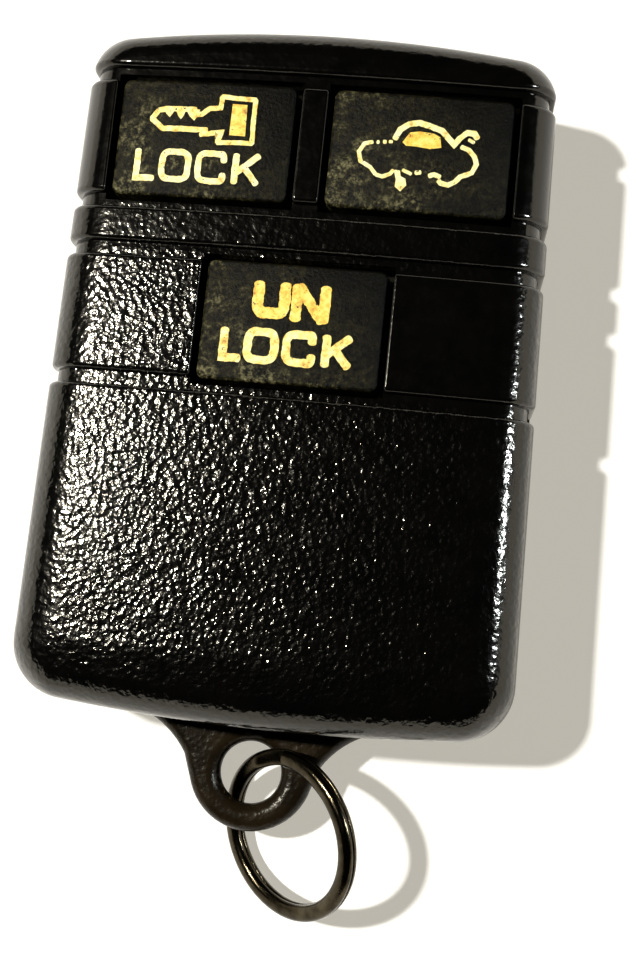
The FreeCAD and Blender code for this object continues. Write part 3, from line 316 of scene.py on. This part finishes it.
def rubber(name, node):
    """Slightly domed button rubber with dust and a painted sheen, both strongest at the left and lower edges."""
    finish = Finish(name)
    place = finish.place()
    x, y, _ = finish.axes(place)
    low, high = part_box(node)
    middle = (low + high) / 2 / MM
    across = finish.math("SUBTRACT", x, middle.x)
    along = finish.math("SUBTRACT", y, middle.y)
    dome = finish.total(finish.product(across, across, DOME_ACROSS), finish.product(along, along, DOME_ALONG))
    fine = finish.noise(place, 4.2, detail=4.0, roughness=0.65)
    finish.bump(finish.total(dome, finish.product(fine, BUTTON_GRAIN)), 1.0)
    # Dust and painted sheen in the base colour: lighter towards the left and lower edges.
    edge = finish.math("SUBTRACT", DUST_AND_SHEEN_MIDDLE, finish.total(finish.product(across, DUST_AND_SHEEN_FALL),
                                                             finish.product(along, DUST_AND_SHEEN_FALL)))
    dust_and_sheen = finish.product(finish.span(finish.noise(place, 0.5, detail=3.0), *DUST_AND_SHEEN_PATCHES),
                          finish.span(edge, 0.0, 1.0, 0.05, 1.0),
                          finish.span(finish.noise(place, 2.6, detail=6.0, roughness=0.72), *DUST_AND_SHEEN_SPECKS))
    finish.set(Base_Color=finish.colours(dust_and_sheen, (0.0, (0.001, 0.0009, 0.0005)), (0.25, (0.018, 0.016, 0.0065)),
                                         (0.8, (0.20, 0.185, 0.095))),
               Roughness=finish.varied(fine, 0.34, 0.44), Specular_IOR_Level=0.07)
    return finish.material


# Sockets of a mix node that carry colours.
MIX_FIRST, MIX_SECOND, MIX_RESULT = 6, 7, 2

# Paint: where its four tones lie along one noise, up to where on another it is gone and from where it is whole, and
# what shows in the gaps.
PAINT_STOPS = (0.32, 0.42, 0.52, 0.68)
PAINT_GONE = (0.32, 0.36)
PAINT_BARE = (0.02, 0.012, 0.004, 1.0)


def paint(name, *tones):
    """Yellow legend paint, worn and uneven, with dark specks where it has gone."""
    finish = Finish(name)
    place = finish.place()
    wear = finish.noise(place, 1.6, detail=5.0, roughness=0.7)
    finish.bump(finish.noise(place, 5.0, detail=3.0), 0.02)
    colour = finish.colours(wear, *zip(PAINT_STOPS, tones))
    bare = finish.span(finish.noise(place, 3.4, detail=4.0, roughness=0.6), *PAINT_GONE, 1.0, 0.0)
    mixed = finish.node("ShaderNodeMix", data_type="RGBA")
    finish.feed(mixed.inputs["Factor"], bare)
    finish.feed(mixed.inputs[MIX_FIRST], colour)
    finish.feed(mixed.inputs[MIX_SECOND], PAINT_BARE)
    finish.set(Base_Color=mixed.outputs[MIX_RESULT], Roughness=finish.varied(wear, 0.65, 0.45))
    return finish.material


def metal(name, dark, light, low_rough, high_rough, scratch=0.004):
    """Plated metal with fine marks and uneven gloss."""
    finish = Finish(name)
    place = finish.place()
    marks = finish.noise(place, 3.0, detail=6.0, roughness=0.7, distortion=1.5)
    finish.bump(marks, scratch)
    finish.set(Base_Color=finish.tones(finish.noise(place, 0.9, detail=4.0), dark, light), Metallic=1.0,
               Roughness=finish.varied(marks, low_rough, high_rough))
    return finish.material


# Small moulded parts: height of their grain in millimetres, and how far their roughness strays from its middle.
MOULDED_GRAIN = 0.01
MOULDED_ROUGH_SPREAD = 0.08


def moulded(name, dark, light, rough):
    """Plain moulded or fired material with fine grain and uneven tone."""
    finish = Finish(name)
    place = finish.place()
    fine = finish.noise(place, 6.0, detail=3.0)
    finish.bump(fine, MOULDED_GRAIN)
    finish.set(Base_Color=finish.tones(finish.noise(place, 0.8, detail=4.0), dark, light),
               Roughness=finish.varied(fine, rough - MOULDED_ROUGH_SPREAD, rough + MOULDED_ROUGH_SPREAD))
    return finish.material


# Glass weave of the board, in radians to the millimetre, and its height.
WEAVE = 12.0
WEAVE_HEIGHT = 0.006


def laminate():
    """Green board laminate: glass weave under a satin mask."""
    finish = Finish("board_laminate")
    place = finish.place()
    x, y, _ = finish.axes(place)
    weave = finish.product(*[finish.math("SINE", finish.product(axis, WEAVE)) for axis in (x, y)])
    finish.bump(weave, WEAVE_HEIGHT)
    finish.set(Base_Color=finish.tones(finish.noise(place, 0.6, detail=4.0), (0.02, 0.14, 0.05), (0.03, 0.20, 0.08)),
               Roughness=finish.span(weave, -1.0, 1.0, 0.32, 0.45))
    return finish.material


# The floor's glow in view: from how near to how far it rises, in millimetres, and its strength there.
GLOW_NEAR, GLOW_FAR = 120.0, 420.0
GLOW_LOW, GLOW_HIGH = 0.48, 0.95


def floor_paper():
    """Pale paper that stays near white in view and still takes shadows."""
    finish = Finish("floor_paper")
    place = finish.place()
    finish.bump(finish.noise(place, 1.2, detail=3.0), 0.01)
    finish.set(Base_Color=finish.colours(finish.noise(place, 0.05, detail=3.0), (0.4, (0.62, 0.62, 0.64)),
                                         (0.6, (0.66, 0.66, 0.68))),
               Roughness=0.9, Specular_IOR_Level=0.1)
    path = finish.node("ShaderNodeLightPath").outputs
    seen = finish.math("MINIMUM", finish.total(path["Is Camera Ray"], path["Is Glossy Ray"],
                                               path["Is Transmission Ray"]), 1.0)
    distance = finish.node("ShaderNodeVectorMath", {0: place}, operation="LENGTH").outputs["Value"]
    finish.set(Emission_Color=(1.0, 0.95, 0.82, 1.0),
               Emission_Strength=finish.product(seen, finish.span(distance, GLOW_NEAR, GLOW_FAR,
                                                                  GLOW_LOW, GLOW_HIGH)))
    return finish.material


def backdrop(material):
    """A round floor that bends up into a wall."""
    steps, bends = 96, 12
    profile = [(FLOOR_RADIUS - WALL_BEND, 0.0)]
    for index in range(1, bends + 1):
        angle = math.pi / 2 * index / bends
        profile.append((FLOOR_RADIUS - WALL_BEND + WALL_BEND * math.sin(angle), WALL_BEND * (1 - math.cos(angle))))
    profile.append((FLOOR_RADIUS, WALL_HEIGHT))
    mesh = bmesh.new()
    rings = []
    for radius, height in profile:
        rings.append([mesh.verts.new((radius * math.cos(2 * math.pi * step / steps),
                                      radius * math.sin(2 * math.pi * step / steps), height))
                      for step in range(steps)])
    mesh.faces.new(rings[0])
    for lower, upper in zip(rings, rings[1:]):
        for step in range(steps):
            following = (step + 1) % steps
            mesh.faces.new((lower[following], lower[step], upper[step], upper[following]))
    data = bpy.data.meshes.new("backdrop")
    mesh.to_mesh(data)
    mesh.free()
    data.polygons.foreach_set("use_smooth", [True] * len(data.polygons))
    item = bpy.data.objects.new("backdrop", data)
    data.materials.append(material)
    scene.collection.objects.link(item)


# Legends, by the middle of each stroke, in millimetres off the middle of their button. Letters are drawn in a cell
# that is one wide and one high, with corners rounded by ROUND.
ROUND = 0.32
BEND_STEPS = 6


def rounded_path(corners, radius, closed=True):
    """A path through corners of a unit cell, with each corner rounded off."""
    points = []
    count = len(corners)
    for index, (x, y) in enumerate(corners):
        here = Vector((x, y))
        if not closed and index in (0, count - 1):
            points.append((x, y))
            continue
        before = Vector(corners[index - 1]) - here
        after = Vector(corners[(index + 1) % count]) - here
        reach = min(radius, before.length / 2, after.length / 2)
        first = here + before.normalized() * reach
        last = here + after.normalized() * reach
        for step in range(BEND_STEPS + 1):
            t = step / BEND_STEPS
            point = first * (1 - t) ** 2 + here * 2 * t * (1 - t) + last * t ** 2
            points.append((point.x, point.y))
    return points


LETTERS = {
    "L": [([(0, 1), (0, 0), (1, 0)], False)],
    "O": [(rounded_path([(0, 0), (1, 0), (1, 1), (0, 1)], ROUND), True)],
    "C": [(rounded_path([(1, 0.74), (1, 1), (0, 1), (0, 0), (1, 0), (1, 0.26)], ROUND, False), False)],
    "K": [([(0, 0), (0, 1)], False), ([(0.08, 0.38), (1, 1)], False), ([(0.38, 0.58), (1, 0)], False)],
    "U": [(rounded_path([(0, 1), (0, 0), (1, 0), (1, 1)], ROUND, False), False)],
    "N": [([(0, 0), (0, 1)], False), ([(0.05, 1), (0.95, 0)], False), ([(1, 0), (1, 1)], False)],
}


def word(letters, low, height, stroke):
    """The strokes of letters on one line, each letter with its left side and its width."""
    strokes = []
    for letter, left, width in letters:
        for points, closed in LETTERS[letter]:
            strokes.append(([(left + x * width, low + y * height) for x, y in points], closed, stroke))
    return strokes


def resample(points, closed, spacing):
    """The same path with points about spacing apart."""
    ends = points + [points[0]] if closed else points
    result = []
    for (x0, y0), (x1, y1) in zip(ends, ends[1:]):
        count = max(1, round(math.hypot(x1 - x0, y1 - y0) / spacing))
        for index in range(count):
            t = index / count
            result.append((x0 + (x1 - x0) * t, y0 + (y1 - y0) * t))
    if not closed:
        result.append(points[-1])
    return result


# Strokes: the step along them in millimetres, and the share of the width that broad and fine wear change.
SPACING = 0.12
UNEVEN = 0.16
RAGGED = 0.14
# Waves of that wear to the millimetre, and how far apart in the noise the two edges and the strokes lie.
UNEVEN_WAVES = 2.2
RAGGED_WAVES = 6.1
UNEVEN_SEED = 3.1
RAGGED_SEED = 5.3
STROKE_SEED = 7.3
# At a bend the stroke is widened by one over the cosine of its half turn, which counts as no less than SHARPEST.
SHARPEST = 0.6
# Rounded ends: how many steps, and their reach as a share of half the width.
CAP_STEPS = 6
CAP_REACH = 0.6


def ribbon(mesh, points, closed, width, low, high, seed):
    """A closed band of paint along a path, with slightly uneven edges and rounded ends."""
    path = [Vector(point) for point in resample(points, closed, SPACING)]
    count = len(path)
    lefts, rights = [], []
    for index, point in enumerate(path):
        before = path[(index - 1) % count] if closed or index > 0 else point
        after = path[(index + 1) % count] if closed or index < count - 1 else point
        forward = (after - before).normalized()
        side = Vector((-forward.y, forward.x))
        widen = 1.0
        if before != point and after != point:
            widen = 1 / max(SHARPEST, forward.dot((point - before).normalized()))
        for edge, sign in ((lefts, 1), (rights, -1)):
            waver = 1 + UNEVEN * noise.noise(Vector((point.x * UNEVEN_WAVES, point.y * UNEVEN_WAVES,
                                                     seed + sign * UNEVEN_SEED)))
            waver += RAGGED * noise.noise(Vector((point.x * RAGGED_WAVES, point.y * RAGGED_WAVES,
                                                  seed - sign * RAGGED_SEED)))
            edge.append(point + side * (sign * width / 2 * widen * waver))
    if closed:
        loops = (lefts, rights)
    else:
        cap_end = end_cap(path[-1], path[-2], width)
        cap_start = end_cap(path[0], path[1], width)
        loops = (lefts + cap_end + rights[::-1] + cap_start,)
    prism(mesh, loops, low, high)


def end_cap(tip, inner, width):
    """Points of a rounded stroke end, from its left edge to its right."""
    forward = (tip - inner).normalized()
    side = Vector((-forward.y, forward.x))
    points = []
    for step in range(1, CAP_STEPS):
        angle = math.pi * step / CAP_STEPS
        points.append(tip + side * (math.cos(angle) * width / 2) + forward * (math.sin(angle) * width / 2 * CAP_REACH))
    return points


def prism(mesh, loops, low, high):
    """An upright solid on one outline, or between an outer and an inner one."""
    levels = []
    for height in (low, high):
        levels.append([[mesh.verts.new((p.x, p.y, height)) for p in loop] for loop in loops])
    bottom, top = levels
    if len(loops) == 1:
        mesh.faces.new(bottom[0][::-1])
        mesh.faces.new(top[0])
    else:
        count = len(loops[0])
        for index in range(count):
            following = (index + 1) % count
            for level in levels:
                mesh.faces.new((level[0][index], level[0][following], level[1][following], level[1][index]))
    for number, loop in enumerate(loops):
        count = len(loop)
        for index in range(count):
            following = (index + 1) % count
            mesh.faces.new((bottom[number][index], bottom[number][following],
                            top[number][following], top[number][index]))


# How far the paint stands above the button's face and reaches into it, in millimetres.
PAINT_RISE = 0.03
PAINT_SINK = 0.03


def legend(name, node, body, strokes, patches, material):
    """Paint on a button: strokes and filled patches as one solid that lies on the button's face."""
    solids = []
    for index, (points, closed, width) in enumerate(strokes):
        mesh = bmesh.new()
        ribbon(mesh, points, closed, width, -1.0, 1.0, index * STROKE_SEED)
        solids.append(mesh)
    for points in patches:
        mesh = bmesh.new()
        prism(mesh, ([Vector(p) for p in resample(points, True, SPACING)],), -1.0, 1.0)
        solids.append(mesh)
    objects = []
    for index, mesh in enumerate(solids):
        bmesh.ops.triangulate(mesh, faces=mesh.faces[:])
        bmesh.ops.recalc_face_normals(mesh, faces=mesh.faces[:])
        data = bpy.data.meshes.new("%s_%d" % (name, index))
        mesh.to_mesh(data)
        mesh.free()
        objects.append(bpy.data.objects.new(data.name, data))
        scene.collection.objects.link(objects[-1])
    result = join_solids(name, objects)
    top = BVHTree.FromObject(frame["nodes"][node], bpy.context.evaluated_depsgraph_get())
    low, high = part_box(node)
    middle = (low + high) / 2
    above = high.z + 1 * MM
    for vertex in result.data.vertices:
        x = middle.x + vertex.co.x * MM
        y = middle.y + vertex.co.y * MM
        hit = top.ray_cast(Vector((x, y, above)), Vector((0, 0, -1)))[0]
        offset = PAINT_RISE if vertex.co.z > 0 else -PAINT_SINK
        vertex.co = (x, y, hit.z + offset * MM)
    result.data.materials.clear()
    result.data.materials.append(MATERIALS[material])
    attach(result, body)


def join_solids(name, objects):
    """Several solids as one, with what lies inside taken out."""
    first = objects[0]
    for other in objects[1:]:
        modifier = first.modifiers.new("join", "BOOLEAN")
        modifier.operation = "UNION"
        modifier.solver = "EXACT"
        modifier.object = other
    graph = bpy.context.evaluated_depsgraph_get()
    data = bpy.data.meshes.new_from_object(first.evaluated_get(graph))
    for item in objects:
        bpy.data.objects.remove(item)
    data.name = name
    result = bpy.data.objects.new(name, data)
    scene.collection.objects.link(result)
    return result


def lock_legend():
    """A key above the word LOCK."""
    key = [
        ([(-4.18, 1.43), (-3.28, 0.7), (-2.06, 0.73), (0.1, 0.73)], False, 0.42),
        ([(-0.3, 0.36), (1.26, 0.62), (1.04, -0.18)], False, 0.38),
        ([(1.04, -0.2), (2.4, -0.12), (3.68, -0.12)], False, 0.36),
        ([(3.68, -0.12), (3.6, 1.6), (3.62, 3.25)], False, 0.36),
        ([(3.62, 3.27), (2.17, 3.3), (1.06, 3.4)], False, 0.36),
        ([(1.06, 3.38), (1.02, 2.5), (0.2, 2.42), (-0.36, 1.95), (-0.85, 1.9)], False, 0.38),
        ([(-4.18, 1.43), (-3.72, 2.1), (-3.12, 2.26), (-0.9, 2.3)], False, 0.4),
    ]
    teeth = [[(-3.4, 2.25), (-2.5, 2.3), (-2.6, 1.95), (-2.82, 1.6), (-3.1, 1.85)],
             [(-2.45, 2.3), (-1.6, 2.3), (-1.75, 1.8), (-1.95, 1.48), (-2.2, 1.75)],
             [(-1.65, 2.3), (-0.55, 2.3), (-0.7, 1.75), (-0.92, 1.42), (-1.3, 1.75)]]
    legend("lock_sign", "lock_button", "lock_key", key, teeth, "legend_paint")
    legend("lock_sign_grip", "lock_button", "lock_key", [],
           [[(1.9, 2.86), (3.02, 2.84), (3.1, 0.4), (1.88, 0.43)]], "legend_paint_deep")
    lower = word((("L", -4.93, 1.3), ("O", -3.0, 2.0), ("C", -0.22, 1.92), ("K", 2.62, 1.68)),
                 low=-3.2, height=2.12, stroke=0.48)
    legend("lock_word", "lock_button", "lock_key", lower, (), "legend_paint_pale")


def trunk_legend():
    """A car from the side with its boot lid up and a mark under it, worn away in places."""
    strokes = [
        ([(-1.92, 1.0), (-1.6, 1.72), (-1.0, 2.16), (-0.25, 2.32), (0.6, 2.12), (1.5, 1.82), (2.1, 1.2), (2.45, 0.85),
          (2.85, 1.4), (3.34, 1.85), (3.85, 1.8), (4.08, 1.5)], False, 0.44),
        ([(3.5, 1.32), (3.86, 1.14)], False, 0.26),
        ([(3.02, 0.72), (3.54, 0.54), (4.0, 0.08), (4.18, -0.5), (3.92, -1.18), (3.1, -1.55), (2.74, -1.98),
          (2.27, -2.24), (1.72, -2.14), (1.55, -1.98)], False, 0.36),
        ([(0.85, -1.66), (1.2, -1.54), (1.6, -1.66)], False, 0.36),
        ([(-0.16, -1.5), (0.14, -1.45)], False, 0.34),
        ([(-1.12, -1.38), (-0.52, -1.62)], False, 0.26),
        ([(-3.58, 0.6), (-4.14, 0.44), (-4.5, -0.2), (-4.32, -0.9), (-3.57, -1.32), (-3.1, -1.86), (-2.61, -1.98),
          (-2.05, -1.74), (-1.86, -1.46)], False, 0.3),
        ([(-3.19, 0.62), (-3.12, 0.62)], False, 0.28),
        ([(-2.72, 0.68), (-2.6, 0.69)], False, 0.3),
        ([(-2.3, 0.72), (-2.14, 0.73)], False, 0.26),
    ]
    stub = [(-1.8, -1.38), (-1.34, -1.43), (-1.25, -1.85), (-0.88, -2.02), (-0.78, -2.52), (-1.18, -3.0),
            (-1.62, -2.66), (-1.58, -2.14)]
    window = [(-1.36, 0.76), (-0.87, 1.54), (-0.16, 1.66), (0.86, 1.58), (1.38, 1.34), (1.52, 0.55), (0.71, 0.38),
              (-0.34, 0.5), (-1.08, 0.5)]
    legend("trunk_sign", "trunk_button", "trunk_key", strokes, [stub], "legend_paint_pale")
    legend("trunk_sign_window", "trunk_button", "trunk_key", [], [window], "legend_paint_deep")


def unlock_legend():
    """UN above LOCK."""
    upper = (word((("U", -2.66, 1.98),), low=0.7, height=2.15, stroke=0.82)
             + word((("N", 0.2, 2.08),), low=0.42, height=2.4, stroke=0.8))
    legend("unlock_word_upper", "unlock_button", "unlock_key", upper, (), "legend_paint_deep")
    lower = word((("L", -4.88, 1.2), ("O", -3.08, 1.98), ("C", -0.22, 1.88), ("K", 2.7, 1.65)),
                 low=-2.82, height=2.08, stroke=0.62)
    legend("unlock_word_lower", "unlock_button", "unlock_key", lower, (), "legend_paint")


# Split ring: two turns of half-round wire, flat where they meet, with the CAD part's sizes in millimetres and degrees.
# WIRE_FLAT is how far the wire's widest line lies from its middle, WIRE_SQUARE its exponent: 2 is round.
FULL_TURN = 360.0
RING_TILT = 39.2
RING_HEADING = 21.9
RING_STEP_PLACE = 72.0
RING_STEP = 26.0
RING_END = 2.0
RING_RADIUS = 5.88
WIRE_WIDTH = 1.28
TURN_HEIGHT = 0.62
TURN_GAP = 0.04
WIRE_FLAT = 0.24
WIRE_SQUARE = 2.3
SECTION_POINTS = 24
RING_STEPS = 230


def wire_section(rise):
    """Section of the wire: round below and flat on top at rise 0, the other way round at rise 1."""
    widest = WIRE_FLAT * (1 - 2 * rise)
    points = []
    for index in range(SECTION_POINTS):
        angle = 2 * math.pi * index / SECTION_POINTS
        across, up = math.cos(angle), math.sin(angle)
        reach = TURN_HEIGHT / 2 - widest if up > 0 else TURN_HEIGHT / 2 + widest
        points.append((math.copysign(abs(across) ** (2 / WIRE_SQUARE), across) * WIRE_WIDTH / 2,
                       widest + math.copysign(abs(up) ** (2 / WIRE_SQUARE), up) * reach))
    return points


def ring():
    """The split ring, rounder than its CAD piece and in the same place."""
    turn = (Matrix.Rotation(math.radians(RING_HEADING), 3, "Z") @ Matrix.Rotation(math.radians(-RING_TILT), 3, "Y")
            @ Matrix.Rotation(math.radians(RING_STEP_PLACE), 3, "Z"))
    back = turn.inverted()
    solid = frame["nodes"]["key_ring"]
    points = [back @ (solid.matrix_world @ vertex.co) for vertex in solid.data.vertices]
    centre = turn @ Vector([(min(p[axis] for p in points) + max(p[axis] for p in points)) / 2 for axis in range(3)])
    mesh = bmesh.new()
    loops = []
    start, stop, pitch = RING_STEP + RING_END, 2 * FULL_TURN - RING_END, TURN_HEIGHT + TURN_GAP
    for index in range(RING_STEPS + 1):
        angle = start + (stop - start) * index / RING_STEPS
        rise = min(1.0, max(0.0, (angle - FULL_TURN) / RING_STEP))
        height = (rise - 0.5) * pitch
        outward = Vector((math.cos(math.radians(angle)), math.sin(math.radians(angle)), 0))
        loops.append([mesh.verts.new(centre + turn @ ((outward * (RING_RADIUS + x) + Vector((0, 0, height + z))) * MM))
                      for x, z in wire_section(rise)])
    for one, other in zip(loops, loops[1:]):
        for index in range(SECTION_POINTS):
            following = (index + 1) % SECTION_POINTS
            face = mesh.faces.new((one[index], one[following], other[following], other[index]))
            face.smooth = True
    for loop in (loops[0], loops[-1]):
        for edge in mesh.faces.new(loop).edges:
            edge.smooth = False
    bmesh.ops.recalc_face_normals(mesh, faces=mesh.faces[:])
    data = bpy.data.meshes.new("split_ring")
    mesh.to_mesh(data)
    mesh.free()
    data.materials.append(MATERIALS["ring_metal"])
    item = bpy.data.objects.new("split_ring", data)
    scene.collection.objects.link(item)
    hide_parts("key_ring")
    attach(item, "ring")


MATERIALS = {
    "case_front": case_plastic("case_front", 0.055, (0.0006, 0.0006, 0.0006), (0.0013, 0.0012, 0.0010),
                               rough=0.14, specular=0.48, zones=True),
    "case_rear": case_plastic("case_rear", 0.03, (0.0032, 0.0021, 0.0010), (0.014, 0.0092, 0.0042),
                              rough=0.28, specular=0.16),
    "button_rubber": rubber("button_rubber", "keypad_mat"),
    "lock_rubber": rubber("lock_rubber", "lock_button"),
    "trunk_rubber": rubber("trunk_rubber", "trunk_button"),
    "unlock_rubber": rubber("unlock_rubber", "unlock_button"),
    "legend_paint": paint("legend_paint", (0.46, 0.24, 0.03), (0.90, 0.62, 0.12), (0.98, 0.81, 0.26),
                          (1.0, 0.93, 0.48)),
    "legend_paint_pale": paint("legend_paint_pale", (0.62, 0.40, 0.08), (0.95, 0.77, 0.26), (1.0, 0.90, 0.42),
                               (1.0, 0.95, 0.58)),
    "legend_paint_deep": paint("legend_paint_deep", (0.36, 0.16, 0.02), (0.82, 0.46, 0.04), (0.95, 0.66, 0.09),
                               (1.0, 0.80, 0.24)),
    "board_laminate": laminate(),
    "copper": metal("copper", (0.55, 0.25, 0.10), (0.75, 0.42, 0.22), 0.25, 0.4),
    "chip_plastic": moulded("chip_plastic", (0.012, 0.012, 0.013), (0.022, 0.022, 0.024), 0.5),
    "tinned_metal": metal("tinned_metal", (0.50, 0.50, 0.50), (0.68, 0.68, 0.67), 0.25, 0.4),
    "ceramic": moulded("ceramic", (0.36, 0.25, 0.15), (0.50, 0.38, 0.26), 0.45),
    "plunger_plastic": moulded("plunger_plastic", (0.62, 0.60, 0.55), (0.74, 0.72, 0.68), 0.45),
    "cell_steel": metal("cell_steel", (0.55, 0.55, 0.54), (0.70, 0.70, 0.70), 0.2, 0.35),
    "ring_metal": metal("ring_metal", (0.020, 0.016, 0.009), (0.075, 0.062, 0.040), 0.10, 0.22, 0.012),
}
NODE_MATERIALS = {"front_cover": "case_front", "rear_cover": "case_rear", "lock_button": "lock_rubber",
                  "trunk_button": "trunk_rubber", "unlock_button": "unlock_rubber"}


def finish_cad():
    """A procedural material on each CAD node, by its slot in the record."""
    for entry in frame["record"]["subparts"]:
        name = entry["node"]
        data = frame["nodes"][name].data
        chosen = MATERIALS[NODE_MATERIALS.get(name, entry["material_slot"])]
        data.materials.clear()
        data.materials.append(chosen)


def world():
    """Dim, even light from all round."""
    item = bpy.data.worlds.new("World")
    item.use_nodes = True
    back = item.node_tree.nodes["Background"]
    back.inputs["Color"].default_value = (WORLD_GREY, WORLD_GREY, WORLD_GREY, 1.0)
    back.inputs["Strength"].default_value = 1.0
    scene.world = item


scene.view_settings.view_transform = "Standard"
camera()
world()
area_light("key", KEY_DIRECTION, KEY_DISTANCE, (KEY_SIDE, KEY_SIDE), KEY_POWER, (1.0, 0.97, 0.88))
# The side lamp only glances off the right edge, as in the photograph; the shadows stay the key's.
area_light("side", SIDE_DIRECTION, SIDE_DISTANCE, SIDE_SIZE, SIDE_POWER, (0.86, 0.94, 1.0)).visible_diffuse = False
backdrop(floor_paper())
finish_cad()
lock_legend()
trunk_legend()
unlock_legend()
ring()
